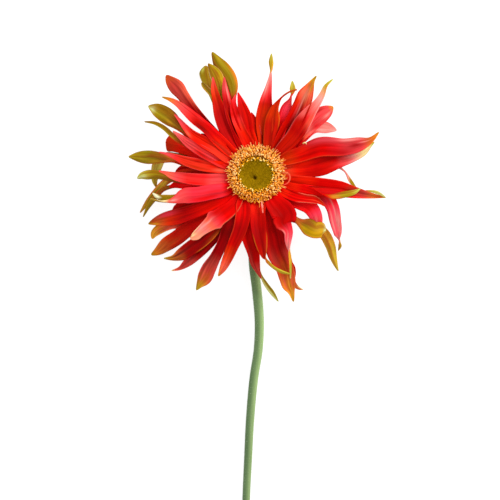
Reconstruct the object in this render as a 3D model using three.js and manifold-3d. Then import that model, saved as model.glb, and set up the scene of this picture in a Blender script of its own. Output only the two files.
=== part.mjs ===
// A cut gerbera daisy of the spider kind, lying on its back: the stem lies along the ground in -Y and
// turns up at the neck, so that the flower head faces straight up. Millimetres, +Z up. The origin is on
// the ground, under the middle of the whole flower.

import * as THREE from "three";
import { mergeVertices } from "three/addons/utils/BufferGeometryUtils.js";
import Module from "manifold-3d";

const wasm = await Module();
wasm.setup();

// ---- Driving dimensions -------------------------------------------------------------------------

const GAP = 0.3; // clearance between pieces that touch

const STEM_LENGTH = 222; // from the middle of the head to the cut end, along the ground
const STEM_NECK_RADIUS = 2.75;
const STEM_END_RADIUS = 1.65;
const STEM_SIDES = 10;
const STEM_LIES_FROM = 28; // how far from the middle of the head the stem first lies flat

const CUP_BOTTOM = 12.5; // height of the green cup's underside, where the stem meets it
const CUP_TOP = 25; // height of the plate that carries the florets
const CUP_RADIUS = 13.3;
const CUP_SIDES = 24;

const BLADE_THICKNESS = 0.7;

const RAY_RING = { inner: 11.9, outer: 13.3, top: 28.2 };
const RAY_ROOT = { radius: 12.2, width: 3.6, height: 27.4, layerStep: 0.45 };

const TRANS_RING = { inner: 10.4, outer: 11.6, top: 29.4 };
const OPEN_RING = { inner: 8.5, outer: 10.1, top: 30.2 };
const BUD_DISC = { radius: 8.2, rim: 31, edge: 0.9, dip: 1.6, rings: 8, sectors: 52, relief: 0.45 };

// The petals of the head, measured from the middle of the head. A petal starts in the ring that all the
// petals grow from. Its keys are [x, y, width, roll]: where its midrib passes, how wide it is there, and
// how far it is rolled over (180 shows the green underside). Layer 0 is the front layer and 3 the back
// one, mid and tip are its heights at half its length and at its tip, and fold is how deep its channel is.
const UNDER = 180;
const PETALS = [
  // Twelve to two o'clock.
  { layer: 1, mid: 26.5, tip: 24, fold: 0.3, keys: [[4, 14.5, 5.5], [4.3, 28.5, 8.8], [4.8, 35, 7],
    [6.4, 43.5, 3], [7.5, 50, 1.3, 90], [7.6, 55.5, 2.4, UNDER], [7.8, 60.8, 0.6, UNDER]] },
  { layer: 0, mid: 29, tip: 31, fold: 0.3, keys: [[6, 14, 5], [7, 20, 6.5], [8.3, 27.5, 7.3],
    [9.8, 34, 3.6], [12.5, 38.3, 1.1, 40], [16, 41, 0.9, 70], [20.5, 42.5, 0.7, 90]] },
  { layer: 2, mid: 23.5, tip: 20, fold: 0.3, keys: [[9.5, 15, 5], [13.5, 27.5, 6], [15.5, 34.5, 5, 30],
    [17.8, 40, 1.5, 100], [18.5, 44, 2.7, UNDER], [18.2, 47, 0.7, UNDER]] },
  { layer: 0.8, mid: 27.5, tip: 27, fold: 0.55, keys: [[10.5, 13.5, 5.5], [15, 20.5, 7], [19.5, 28, 8],
    [23, 35, 8.4], [24.9, 40, 7.8], [26.7, 43.5, 5], [28.2, 46.5, 2.4], [30.3, 49.5, 0.6]] },
  { layer: 0, mid: 29, tip: 28, fold: 0.55, keys: [[12.5, 12.5, 6], [18, 18.5, 8], [23, 26.5, 9.3],
    [26.8, 31.5, 6.5], [30, 35, 4.4], [33, 39.8, 3], [35, 44.5, 1.8], [38.5, 47.8, 0.6]] },
  { layer: 2, mid: 23.5, tip: 17, fold: 0.35, keys: [[17, 12.5, 5], [23, 20.5, 6.5], [28.5, 26, 7.5],
    [33.3, 30.4, 7.8], [36.4, 32.6, 5.2], [38.8, 34.3, 1]] },
  { layer: 3, mid: 17, tip: 0.2, fold: 0.2, keys: [[16, 10, 5], [23.5, 18.5, 6], [30, 23.3, 5.6],
    [35, 23.9, 5.8], [38, 23.5, 3.8], [40.8, 22.8, 0.8]] },

  // Two to four o'clock.
  { layer: 0, mid: 29, tip: 30, fold: 0.5, keys: [[14, 7.5, 6], [22, 10, 7.5], [32, 13.8, 9.8],
    [44.5, 14, 8.2], [52, 15.8, 6], [56.8, 17, 3], [61.5, 21.3, 0.6]] },
  { layer: 1, mid: 26.5, tip: 26, fold: 0.4, keys: [[15, 2.5, 6.5], [23, 2.8, 8.5], [32, 3.8, 9.5],
    [42, 7, 6.5], [49, 9, 4.2], [54, 11.5, 2.8], [57, 14.5, 1.3], [59.3, 16.3, 0.6]] },
  { layer: 3, mid: 20, tip: 10, fold: 0.2, keys: [[17, 5, 4], [30, 5, 5], [40, 5, 3, 30],
    [45, 1.8, 1.2, 90], [47.6, -2.8, 2.2, 150], [50.5, -6.5, 0.6, UNDER]] },
  { layer: 1, mid: 26, tip: 14, fold: 0.35, keys: [[15, -3.5, 6.5], [23, -4.8, 8.5], [32, -6.1, 9.2],
    [42, -7.1, 8], [49.5, -8.8, 5.8], [57, -10.2, 3.2], [65.3, -11.2, 0.6]] },
  { layer: 1.3, mid: 25.5, tip: 15, fold: 0.2, keys: [[15, -4, 4, UNDER], [40, -7, 3, UNDER],
    [52, -7.6, 1.4, UNDER], [57, -7.8, 1.2, UNDER], [61, -8.8, 1.5, UNDER], [65, -10.9, 0.6, UNDER]] },
  { layer: 0, mid: 29, tip: 24, fold: 0.3, keys: [[15, -6, 5], [24.5, -8.3, 6], [32, -10.2, 3.8, 60],
    [38.5, -10.5, 2.2, 130], [45, -9.8, 2.8, UNDER], [49.5, -8.5, 2.3, UNDER], [52.3, -6.8, 0.6, UNDER]] },
  { layer: 0, mid: 29.5, tip: 27, fold: 0.3, keys: [[13.5, -8, 5], [20, -11, 5], [25, -11.9, 4.2],
    [29.5, -12.5, 3.8], [32.5, -14, 2], [34.5, -15.8, 0.6]] },
  { layer: 2, mid: 21, tip: 8, fold: 0.3, keys: [[17, -6.5, 5], [27, -8.5, 6.5], [35, -11, 7.4],
    [38.2, -16, 6.6], [39.8, -23, 5.8], [41, -29, 4], [42.1, -33, 1.1, 90], [42.3, -35.5, 1.8, UNDER],
    [41.5, -38, 0.6, UNDER]] },

  // Four to six o'clock.
  { layer: 2, mid: 23.5, tip: 16, fold: 0.2, keys: [[14, -10, 5.5], [21, -14, 7], [27.5, -16.8, 7.5],
    [30.5, -21, 6.2], [31, -25.5, 4], [31.5, -29, 1]] },
  { layer: 0.5, mid: 27, tip: 24, fold: 0.3, keys: [[12, -11, 5], [16.5, -15, 4, 30], [19.8, -19.5, 2.2, 110],
    [22, -23.3, 4.5, UNDER], [26, -26.3, 7.6, UNDER], [30, -28, 7.8, UNDER], [33.3, -27.3, 7, UNDER],
    [35.3, -27.8, 1, UNDER]] },
  { layer: 0, mid: 28.5, tip: 22, fold: 0.3, keys: [[7, -11, 6], [10.5, -16, 9], [14, -22, 9.5],
    [16, -27.5, 5], [16, -32.5, 3.2, 20], [16.8, -37.5, 1.6, 90], [17.6, -44.5, 1.5, 150],
    [17.6, -52, 0.6, UNDER]] },
  { layer: 3, mid: 17, tip: 0.2, fold: 0.25, keys: [[14, -10.5, 5], [22, -17, 6, 60], [30, -23.5, 6.5, 130],
    [35, -29.5, 6, UNDER], [37.5, -35.5, 5.2, UNDER], [39, -41, 3.9, UNDER], [40.3, -45, 2.3, UNDER],
    [41.7, -48.3, 0.6, UNDER]] },
  { layer: 1.5, mid: 24, tip: 12, fold: 0.25, keys: [[5, -14, 6.5], [7, -21.5, 8.5], [9.5, -30, 10.4],
    [11.3, -38.5, 10.8], [13.8, -46.5, 9.4], [16.2, -53.5, 7.2], [17.8, -58.5, 3.8], [18.8, -63.5, 1.1]] },
  { layer: 3, mid: 18, tip: 8, fold: 0.2, keys: [[8, -14, 5], [13, -30, 5], [15.5, -40, 4],
    [18.3, -46, 2.6], [19.2, -51, 1.8], [20.3, -54.5, 1.6], [23.8, -57.5, 0.8]] },
  { layer: 0.3, mid: 28.5, tip: 24, fold: 0.25, keys: [[1, -13.5, 6], [1, -19.5, 7.5], [1.3, -25.5, 8],
    [2.3, -32.5, 6], [3.5, -38, 3.6, 30], [5.6, -42.9, 1.6, 100], [9.2, -46.9, 1.6, 160],
    [13, -48.8, 1.5, UNDER], [17, -49.5, 0.7, UNDER]] },
  { layer: 1, mid: 26, tip: 17, fold: 0.25, keys: [[-3, -13.5, 6], [-4.2, -22.5, 7], [-3.5, -31.5, 7],
    [-1.3, -38.5, 6.2], [0.3, -44.5, 5], [1.8, -48.5, 2.6], [2.7, -52, 0.6]] },
  { layer: 3, mid: 19, tip: 8, fold: 0.2, keys: [[0, -14, 4], [1, -30, 4], [1, -43, 1.8, 60],
    [2.2, -49, 1.2, 120], [5.3, -54.8, 2.6, UNDER], [8.6, -59.3, 2.8, UNDER], [11.5, -63.3, 0.6, UNDER]] },

  // Six to eight o'clock.
  { layer: 0, mid: 28.5, tip: 20, fold: 0.3, keys: [[-6, -13, 6], [-6.3, -19.5, 7.5], [-8, -27.5, 7],
    [-11.5, -35.5, 6], [-14.3, -42, 5], [-16.5, -46.8, 3.4], [-18.8, -50.7, 0.8]] },
  { layer: 1, mid: 25.5, tip: 12, fold: 0.25, keys: [[-9, -13, 5.5], [-13, -23.5, 6.5], [-16.8, -34.3, 5.4],
    [-20.4, -41.4, 5.8], [-23.6, -47, 7.4], [-26, -52, 7], [-28.5, -55.5, 3], [-29.9, -57.8, 0.7]] },
  { layer: 2, mid: 22.5, tip: 8, fold: 0.2, keys: [[-10, -13, 5.5], [-16.5, -24, 6.5], [-23.5, -33, 7],
    [-29.5, -39, 6.5], [-34, -43.5, 4.6], [-38.5, -46.9, 1.8], [-42.5, -48, 0.6]] },
  { layer: 1.7, mid: 24, tip: 11, fold: 0.25, keys: [[-11.5, -13, 5.5], [-18, -23, 6.5], [-25.5, -31.5, 7],
    [-32.5, -36.5, 7.3], [-37.3, -39.8, 6.2], [-41.3, -41.5, 3], [-46.3, -41.8, 0.6]] },
  { layer: 0, mid: 30, tip: 30, fold: 0.2, keys: [[-9.5, -13, 6], [-14, -17.8, 6.5], [-19.5, -22, 7],
    [-23.8, -24.5, 8], [-27, -27.8, 6.2], [-30, -30.3, 3.8], [-32.5, -31.5, 1.4]] },
  { layer: 1.5, mid: 21, tip: 0.2, fold: 0.25, keys: [[-11, -12, 5.5], [-21.5, -20.5, 6.5],
    [-33, -26.5, 7.4], [-40.2, -31.8, 7.6], [-45.2, -35, 6.4], [-49, -38.3, 3.4], [-52.8, -40, 0.9]] },
  { layer: 2.3, mid: 20, tip: 6, fold: 0.2, keys: [[-12.5, -11, 5], [-25.5, -19, 7], [-35.5, -23, 7],
    [-43, -24.6, 5.2], [-48.3, -27.2, 4.4], [-51, -29.5, 3.2], [-52, -32, 1]] },
  { layer: 1, mid: 26, tip: 14, fold: 0.25, keys: [[-12.5, -9, 5.5], [-22, -14.3, 7], [-32, -18.5, 7.3],
    [-40, -21, 8], [-46.5, -22.4, 6.4], [-50.8, -23.4, 3.6], [-54, -24.5, 0.7]] },
  { layer: 2.5, mid: 22, tip: 16, fold: 0.2, keys: [[-13.5, -7.5, 5], [-25.5, -12.5, 7], [-34, -16, 7],
    [-39, -17.5, 6.5], [-42, -18.2, 3]] },

  // Eight to ten o'clock.
  { layer: 0, mid: 29, tip: 24, fold: 0.3, keys: [[-14, -7, 6], [-21.5, -8.5, 7.5], [-29.5, -10, 7.7],
    [-35.5, -10.6, 7.6], [-40, -12.6, 4.2, 20], [-45, -13.5, 1.8, 60], [-49.5, -13, 1.2, 100],
    [-53, -12, 0.6, 120]] },
  { layer: 0.8, mid: 26.5, tip: 22, fold: 0.3, keys: [[-14.5, -6.5, 4, UNDER], [-25.5, -9, 4, UNDER],
    [-35, -10, 4, UNDER], [-41, -10.8, 2, UNDER], [-45, -11.3, 2.8, UNDER], [-49, -11, 2.6, UNDER],
    [-51.8, -9, 0.6, UNDER]] },
  { layer: 2, mid: 23.5, tip: 17, fold: 0.2, keys: [[-15, -4, 5], [-25.5, -4.5, 6], [-34, -4.8, 5],
    [-40, -4.8, 3.5], [-43.5, -6, 1]] },
  { layer: 0.4, mid: 28, tip: 26, fold: 0.25, keys: [[-14, -2, 5.5], [-23, -2.5, 6], [-31.5, -2.2, 5.8],
    [-37.5, -1.3, 5], [-42, -0.3, 3.6], [-45.5, 1, 1.8], [-49.3, 2, 0.6]] },
  { layer: 1.4, mid: 24.5, tip: 16, fold: 0.3, keys: [[-14.5, -2, 4, UNDER], [-33, -2.5, 4, UNDER],
    [-40.5, -1.8, 4, UNDER], [-45.5, -0.8, 3.8, UNDER], [-50.5, 0.2, 4.3, UNDER], [-54.3, 0.1, 4.8, UNDER],
    [-57.2, -0.4, 3.6, UNDER], [-59.6, -1.7, 1, UNDER]] },
  { layer: 2.6, mid: 20, tip: 0.2, fold: 0.3, keys: [[-15, 1, 4, UNDER], [-28, 1.5, 4, UNDER],
    [-38, 0, 5, UNDER], [-44, -2.5, 3.6, UNDER], [-47.5, -5.3, 3.5, UNDER], [-51, -9, 3, UNDER],
    [-54.5, -13.5, 2.8, UNDER], [-58.5, -18.8, 0.7, UNDER]] },
  { layer: 3, mid: 19, tip: 2, fold: 0.3, keys: [[-15, -3, 4, UNDER], [-28, -4, 4, UNDER],
    [-36.5, -4.8, 3.5, UNDER], [-42.5, -5.8, 2, UNDER], [-47, -7.3, 2.6, UNDER], [-50.5, -11, 2.8, UNDER],
    [-54, -15.5, 2.2, UNDER], [-56.9, -21, 0.6, UNDER]] },
  { layer: 2, mid: 23.5, tip: 18, fold: 0.2, keys: [[-15, 1, 5], [-25.5, 2.3, 6], [-33, 2.8, 5],
    [-37.5, 2.5, 4], [-40.3, 1.3, 1.2]] },
  { layer: 0.5, mid: 28, tip: 25, fold: 0.25, keys: [[-14, 3.5, 5.5], [-22, 4, 6], [-29.5, 5.3, 5.8],
    [-35.5, 7, 4.6], [-40, 8.8, 3], [-44, 10.3, 1.5], [-47.5, 11.3, 0.6]] },
  { layer: 1.6, mid: 24, tip: 13, fold: 0.3, keys: [[-14, 4, 4, UNDER], [-28, 5.5, 4, UNDER],
    [-36, 6.3, 4, UNDER], [-41.5, 7.4, 2.6, UNDER], [-46, 8.3, 4.6, UNDER], [-50.5, 8.8, 6.2, UNDER],
    [-55, 9, 6.8, UNDER], [-59.5, 9.2, 5.2, UNDER], [-64, 9.3, 0.9, UNDER]] },
  { layer: 3, mid: 16, tip: 6, fold: 0.2, keys: [[-15, 5, 4, UNDER], [-28, 8.5, 4, UNDER],
    [-40, 10, 4, UNDER], [-45.5, 9, 5, UNDER], [-49.2, 5, 5.6, UNDER], [-50.6, 0, 4.6, UNDER],
    [-51, -3.5, 2.8, UNDER], [-50.3, -6, 0.7, UNDER]] },

  // Ten to eleven o'clock.
  { layer: 3, mid: 20, tip: 10, fold: 0.15, keys: [[-15, 6, 5], [-26.5, 10.5, 8], [-34.5, 14, 8.2],
    [-40, 16, 8.4], [-43.3, 17.1, 8], [-44.9, 17.2, 4.6]] },
  { layer: 0.3, mid: 28.5, tip: 26, fold: 0.3, keys: [[-14, 5, 5], [-22, 9, 6], [-29.5, 13.3, 5.4],
    [-34.5, 16.5, 4.2], [-38.5, 19.5, 2.4], [-42.5, 22.3, 0.6]] },
  { layer: 1.6, mid: 24.5, tip: 17, fold: 0.3, keys: [[-14, 6, 3.5, UNDER], [-25.5, 8.5, 3.5, UNDER],
    [-33, 12.5, 3.5, UNDER], [-38.5, 16.5, 2.2, UNDER], [-42, 20.3, 2.6, UNDER], [-46, 24, 2.4, UNDER],
    [-50.5, 26.3, 1.8, UNDER], [-56, 26.8, 0.6, UNDER]] },
  { layer: 0, mid: 29.5, tip: 27, fold: 0.3, keys: [[-12.5, 7.5, 5], [-20, 13, 6], [-27, 17, 5.6],
    [-32, 20.3, 4.4], [-35.5, 24, 3], [-38.3, 27.5, 1.7], [-40.8, 30.3, 0.6]] },
  { layer: 1.2, mid: 25.5, tip: 19, fold: 0.3, keys: [[-13.5, 8, 4, UNDER], [-25.5, 14, 4, UNDER],
    [-31.5, 17.5, 4, UNDER], [-35.5, 21, 3, UNDER], [-39, 24.5, 5.2, UNDER], [-43, 28, 8, UNDER],
    [-47, 31, 8, UNDER], [-50.8, 33.2, 5.8, UNDER], [-54, 34.5, 1, UNDER]] },
  { layer: 2, mid: 24, tip: 22, fold: 0.2, keys: [[-13, 8.5, 5], [-21.5, 16, 6], [-26.5, 20.5, 4],
    [-28, 22, 2]] },
  { layer: 0.1, mid: 29.5, tip: 28, fold: 0.35, keys: [[-11, 10, 5], [-18.5, 17, 6.5], [-24.7, 23.3, 5.4],
    [-30.5, 28, 5.2], [-35, 32, 4], [-39, 35.5, 2.3], [-42.5, 37.3, 1.4], [-46.8, 38.7, 0.6]] },
  { layer: 1, mid: 26.5, tip: 21, fold: 0.3, keys: [[-10, 11.5, 5], [-19.3, 18.8, 5.5], [-27, 27.2, 5.4],
    [-32.7, 34.4, 5.4], [-36.4, 39.6, 6.2], [-39.8, 44, 7.6], [-42.8, 47.2, 5.2], [-44.9, 50, 1.2]] },

  // Eleven to twelve o'clock.
  { layer: 0.5, mid: 28.5, tip: 24, fold: 0.3, keys: [[-8.5, 12, 5.5], [-14.2, 21, 7], [-17.5, 30, 7],
    [-19.5, 37, 4.8], [-20.9, 43, 3.2], [-21.5, 49, 0.6]] },
  { layer: 2, mid: 19, tip: 0.2, fold: 0.3, keys: [[-9, 12, 4, UNDER], [-15.5, 25, 4, UNDER],
    [-19.5, 34.5, 3.5, UNDER], [-22, 40, 2.8, UNDER], [-23.8, 45, 3.8, UNDER], [-24.6, 49.2, 5.6, UNDER],
    [-25.6, 52.5, 5.4, UNDER], [-26.2, 55.3, 3.2, UNDER]] },
  { layer: 2.7, mid: 21, tip: 11, fold: 0.3, keys: [[-9.5, 11.5, 3.5, UNDER], [-16, 24, 3.5, UNDER],
    [-20, 34, 3, UNDER], [-22, 40, 2, UNDER], [-24, 42.7, 2.4, UNDER], [-26, 44.7, 1.8, UNDER],
    [-27.6, 46, 0.7, UNDER]] },
  { layer: 0.4, mid: 28.5, tip: 25, fold: 0.3, keys: [[-6, 13.5, 5], [-10, 22.5, 5], [-13, 31.5, 5],
    [-14.5, 38, 4.2], [-15.5, 43.5, 2.9], [-15.9, 49, 0.6]] },
  { layer: 1.5, mid: 24, tip: 13, fold: 0.3, keys: [[-6.5, 13.5, 4, UNDER], [-12, 22.5, 4, UNDER],
    [-15.5, 31.5, 3, UNDER], [-17.3, 37.5, 2, UNDER], [-18, 42, 3, UNDER], [-18.5, 46, 4.2, UNDER],
    [-19.4, 49.5, 4.9, UNDER], [-21.3, 53, 3.8, UNDER], [-24, 56.1, 0.8, UNDER]] },
  { layer: 0.2, mid: 29, tip: 27, fold: 0.3, keys: [[-3.5, 14, 5], [-7.5, 22.5, 5.2], [-10.5, 30.5, 4.8],
    [-11.8, 35.5, 3], [-11, 40, 0.6]] },
  { layer: 1, mid: 25.5, tip: 16, fold: 0.3, keys: [[-4, 14, 4, UNDER], [-7, 23.5, 4, UNDER],
    [-10, 31.5, 3, UNDER], [-11.3, 36.5, 2.2, UNDER], [-11.5, 40.5, 4, UNDER], [-11.9, 44.5, 6, UNDER],
    [-13, 48.5, 6.6, UNDER], [-15.6, 52.6, 6.8, UNDER], [-18.6, 56.5, 5.2, UNDER], [-21.6, 60.9, 1.2, UNDER]] },
  { layer: 0.8, mid: 27.5, tip: 25, fold: 0.3, keys: [[-1.5, 14, 5], [-4, 22, 6], [-5.6, 29.8, 6.4],
    [-7.2, 35.5, 4], [-9, 41.3, 0.6]] },
  { layer: 1, mid: 27, tip: 26.5, fold: 0.25, keys: [[0.8, 14.5, 5], [0.3, 21.5, 4.5], [-0.8, 27, 3.4],
    [-2.3, 31.3, 0.6]] },
];

// ---- Shape tools ----------------------------------------------------------------------------------

const UP = new THREE.Vector3(0, 0, 1);

// Joins a row of closed sections, each with the same number of points, into one closed body.
function loft(sections, { alikeOnBothFaces = false } = {}) {
  const count = sections[0].length;
  const half = count / 2;
  const positions = sections.flat().flatMap((point) => point.toArray());
  const index = [];
  for (let i = 0; i + 1 < sections.length; i++) {
    for (let j = 0; j < count; j++) {
      const a = i * count + j;
      const b = i * count + ((j + 1) % count);
      const [c, d] = [a + count, b + count];
      if (alikeOnBothFaces && j >= half) index.push(a, b, c, b, d, c);
      else index.push(a, b, d, a, d, c);
    }
  }
  const last = (sections.length - 1) * count;
  for (let j = 0; j + 1 < half; j++) {
    const [a, b] = [j, j + 1];
    const [c, d] = [count - 2 - j, count - 1 - j];
    index.push(a, c, b, a, d, c);
    index.push(last + a, last + b, last + c, last + a, last + c, last + d);
  }
  const geometry = new THREE.BufferGeometry();
  geometry.setAttribute("position", new THREE.Float32BufferAttribute(positions, 3));
  geometry.setIndex(index);
  return geometry;
}

// A blade along a row of points: at each its width, its roll in degrees and its fold. Its section has
// three points on the upper face and three on the lower one.
function blade(points, widths, rolls, fold, thickness = BLADE_THICKNESS) {
  const sections = points.map((point, i) => {
    const before = points[Math.max(i - 1, 0)];
    const after = points[Math.min(i + 1, points.length - 1)];
    const along = after.clone().sub(before).normalize();
    const side = UP.clone().cross(along).normalize();
    side.applyAxisAngle(along, THREE.MathUtils.degToRad(rolls[i]));
    const normal = along.clone().cross(side);
    const at = (across, face) =>
      point
        .clone()
        .addScaledVector(side, (across * widths[i]) / 2)
        .addScaledVector(normal, (Math.abs(across) * fold * widths[i]) / 2 + (face * thickness) / 2);
    return [at(1, 1), at(0, 1), at(-1, 1), at(-1, -1), at(0, -1), at(1, -1)];
  });
  return loft(sections, { alikeOnBothFaces: true });
}

function toSolid(geometry) {
  const bare = geometry.clone();
  bare.deleteAttribute("normal");
  bare.deleteAttribute("uv");
  const merged = mergeVertices(bare, 1e-5);
  return new wasm.Manifold(
    new wasm.Mesh({
      numProp: 3,
      vertProperties: new Float32Array(merged.attributes.position.array),
      triVerts: new Uint32Array(merged.index.array),
    }),
  );
}

// Joins geometries in one body. Hollows that the joining seals are filled and loose scraps dropped.
function fuse(geometries) {
  const solids = geometries.map(toSolid);
  const joined = solids.reduce((all, solid) => all.add(solid));
  const bodies = joined.decompose().sort((a, b) => b.volume() - a.volume());
  const { vertProperties, triVerts, numProp } = bodies[0].getMesh();
  const positions = [];
  for (let i = 0; i < vertProperties.length; i += numProp) {
    positions.push(vertProperties[i], vertProperties[i + 1], vertProperties[i + 2]);
  }
  const geometry = new THREE.BufferGeometry();
  geometry.setAttribute("position", new THREE.Float32BufferAttribute(positions, 3));
  geometry.setIndex([...triVerts]);
  geometry.computeVertexNormals();
  return geometry;
}

// Turns a closed profile of [radius, height] about the upright axis.
function lathe(profile, sides) {
  const points = profile.map(([radius, height]) => new THREE.Vector2(radius, height));
  return new THREE.LatheGeometry(points, sides).rotateX(Math.PI / 2);
}

function ring({ inner, outer, top }, bottom, sides) {
  return lathe([[inner, bottom], [outer, bottom], [outer, top], [inner, top], [inner, bottom]], sides);
}

// Seeded numbers from 0 to 1, the same on each run.
function seeded(seed) {
  let state = seed;
  return () => {
    state = (state * 1664525 + 1013904223) % 4294967296;
    return state / 4294967296;
  };
}

// A point at an angle round the head's upright axis.
function around(angle, radius, height) {
  return new THREE.Vector3(radius * Math.cos(angle), radius * Math.sin(angle), height);
}

// ---- Stem: one long bare stalk that tapers to its cut end -------------------------------------------

function stem() {
  const neck = [
    [0, 0, CUP_BOTTOM - GAP],
    [0, 0, CUP_BOTTOM - 1.5],
    [0, -0.6, 9],
    [0, -2.2, 6.6],
    [0, -5.2, 4.4],
    [-0.2, -9.5, 3.2],
    [-0.5, -16, 2.7],
  ];
  // Sideways sway of the part that lies on the ground, as [x, y].
  const sway = [[-1, -STEM_LIES_FROM], [-1, -45], [0.5, -57.5], [1.8, -75], [1.2, -88], [-1, -101], [-3, -122],
    [-4.1, -143], [-4.8, -162], [-5.3, -182], [-5.8, -202], [-6.2, -STEM_LENGTH]];
  const flatOnGround = Math.cos(Math.PI / STEM_SIDES);
  const radiusAt = (y) => THREE.MathUtils.lerp(STEM_NECK_RADIUS, STEM_END_RADIUS, -y / STEM_LENGTH);
  const lying = sway.map(([x, y]) => [x, y, radiusAt(y) * flatOnGround]);
  const curve = new THREE.CatmullRomCurve3([...neck, ...lying].map((p) => new THREE.Vector3(...p)));
  const steps = [...neck, ...lying].length - 1;
  const sections = [];
  for (let i = 0; i <= 2 * steps; i++) {
    const t = i / (2 * steps);
    const middle = curve.getPoint(t);
    const along = curve.getTangent(t);
    const side = new THREE.Vector3(1, 0, 0).projectOnPlane(along).normalize();
    const upper = along.clone().cross(side);
    const radius = radiusAt(middle.y);
    if (middle.y < -STEM_LIES_FROM) middle.z = radius * flatOnGround;
    const section = [];
    for (let j = 0; j < STEM_SIDES; j++) {
      const angle = (2 * Math.PI * (j + 0.5)) / STEM_SIDES - Math.PI / 2;
      section.push(
        middle
          .clone()
          .addScaledVector(side, radius * Math.cos(angle))
          .addScaledVector(upper, radius * Math.sin(angle)),
      );
    }
    sections.push(section);
  }
  return loft(sections);
}

// ---- Involucre: the green cup under the head, with two rows of pointed bracts -----------------------

const CUP_PROFILE = [[0, CUP_BOTTOM], [2.9, CUP_BOTTOM], [4.2, 13.4], [7.2, 15.4], [10, 18.2], [12, 21.4],
  [CUP_RADIUS, CUP_TOP], [0, CUP_TOP]];
const BRACT_ROWS = [
  { count: 14, turn: 0, width: 3.6, path: [[8.4, 16.6], [12.2, 20.4], [15.6, 22.4]] },
  { count: 10, turn: 0.4, width: 3.4, path: [[4.4, 13.9], [8.8, 15.9], [12.9, 18.8]] },
];

function involucre() {
  const pieces = [lathe(CUP_PROFILE, CUP_SIDES)];
  const random = seeded(5);
  for (const { count, turn, width, path } of BRACT_ROWS) {
    for (let i = 0; i < count; i++) {
      const angle = (2 * Math.PI * (i + turn)) / count + 0.08 * (random() - 0.5);
      const points = path.map(([radius, height]) => around(angle, radius, height));
      pieces.push(blade(points, [width, width, 0.7], [0, 0, 0], 0.3));
    }
  }
  return fuse(pieces);
}

// ---- Ray petals: every petal of the head, grown together at a ring round the head --------------------

function petal({ layer, mid, tip, fold, keys }) {
  const [x, y, , firstRoll = 0] = keys[0];
  const reach = RAY_ROOT.radius / Math.hypot(x, y);
  const all = [[x * reach, y * reach, RAY_ROOT.width, firstRoll], ...keys];
  const travelled = [0];
  for (let i = 1; i < all.length; i++) {
    const step = Math.hypot(all[i][0] - all[i - 1][0], all[i][1] - all[i - 1][1]);
    travelled.push(travelled[i - 1] + step);
  }
  const rootHeight = RAY_ROOT.height - RAY_ROOT.layerStep * layer;
  const heightAt = (s) =>
    rootHeight * (1 - s) * (1 - 2 * s) + 4 * mid * s * (1 - s) + tip * s * (2 * s - 1);
  const points = all.map(
    ([px, py], i) => new THREE.Vector3(px, py, heightAt(travelled[i] / travelled.at(-1))),
  );
  const geometry = blade(points, all.map((key) => key[2]), all.map((key) => key[3] ?? 0), fold);
  const position = geometry.attributes.position;
  for (let i = 0; i < position.count; i++) position.setZ(i, Math.max(position.getZ(i), 0));
  return geometry;
}

function rayPetals() {
  return fuse([ring(RAY_RING, CUP_TOP + GAP, CUP_SIDES), ...PETALS.map(petal)]);
}

// ---- Trans florets: the frill of short curled florets between the petals and the disc -----------------

const TRANS_ROWS = [
  { count: 26, width: 2.1, path: [[11, 28.6], [13.2, 30.8], [15.4, 30.2]] },
  { count: 18, width: 1.9, path: [[11, 28.6], [11.7, 31.4], [13.7, 32.4]] },
];

function transFlorets() {
  const pieces = [ring(TRANS_RING, CUP_TOP + GAP, CUP_SIDES)];
  const random = seeded(11);
  for (const { count, width, path } of TRANS_ROWS) {
    for (let i = 0; i < count; i++) {
      const angle = (2 * Math.PI * (i + 0.5 * random())) / count;
      const stretch = 0.9 + 0.25 * random();
      const points = path.map(([radius, height], k) =>
        around(angle, path[0][0] + (radius - path[0][0]) * stretch, height + 0.3 * k * random()),
      );
      pieces.push(blade(points, [width * 0.7, width, 1], [0, 0, 0], 0.3, 0.6));
    }
  }
  return fuse(pieces);
}

// ---- Open disc florets: a ring of florets in pollen, each a bead on the ring ----------------------------

const POLLEN = { count: 26, radius: 0.95, height: 30.6 };

function openDiscFlorets() {
  const pieces = [ring(OPEN_RING, CUP_TOP + GAP, CUP_SIDES)];
  const middle = (OPEN_RING.inner + OPEN_RING.outer) / 2;
  for (let i = 0; i < POLLEN.count; i++) {
    const angle = (2 * Math.PI * i) / POLLEN.count;
    const bead = new THREE.OctahedronGeometry(POLLEN.radius).rotateZ(angle);
    const { x, y } = around(angle, middle, 0);
    pieces.push(bead.translate(x, y, POLLEN.height));
  }
  return fuse(pieces);
}

// ---- Disc buds: the green eye, a shallow bowl of closed florets ------------------------------------------

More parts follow.
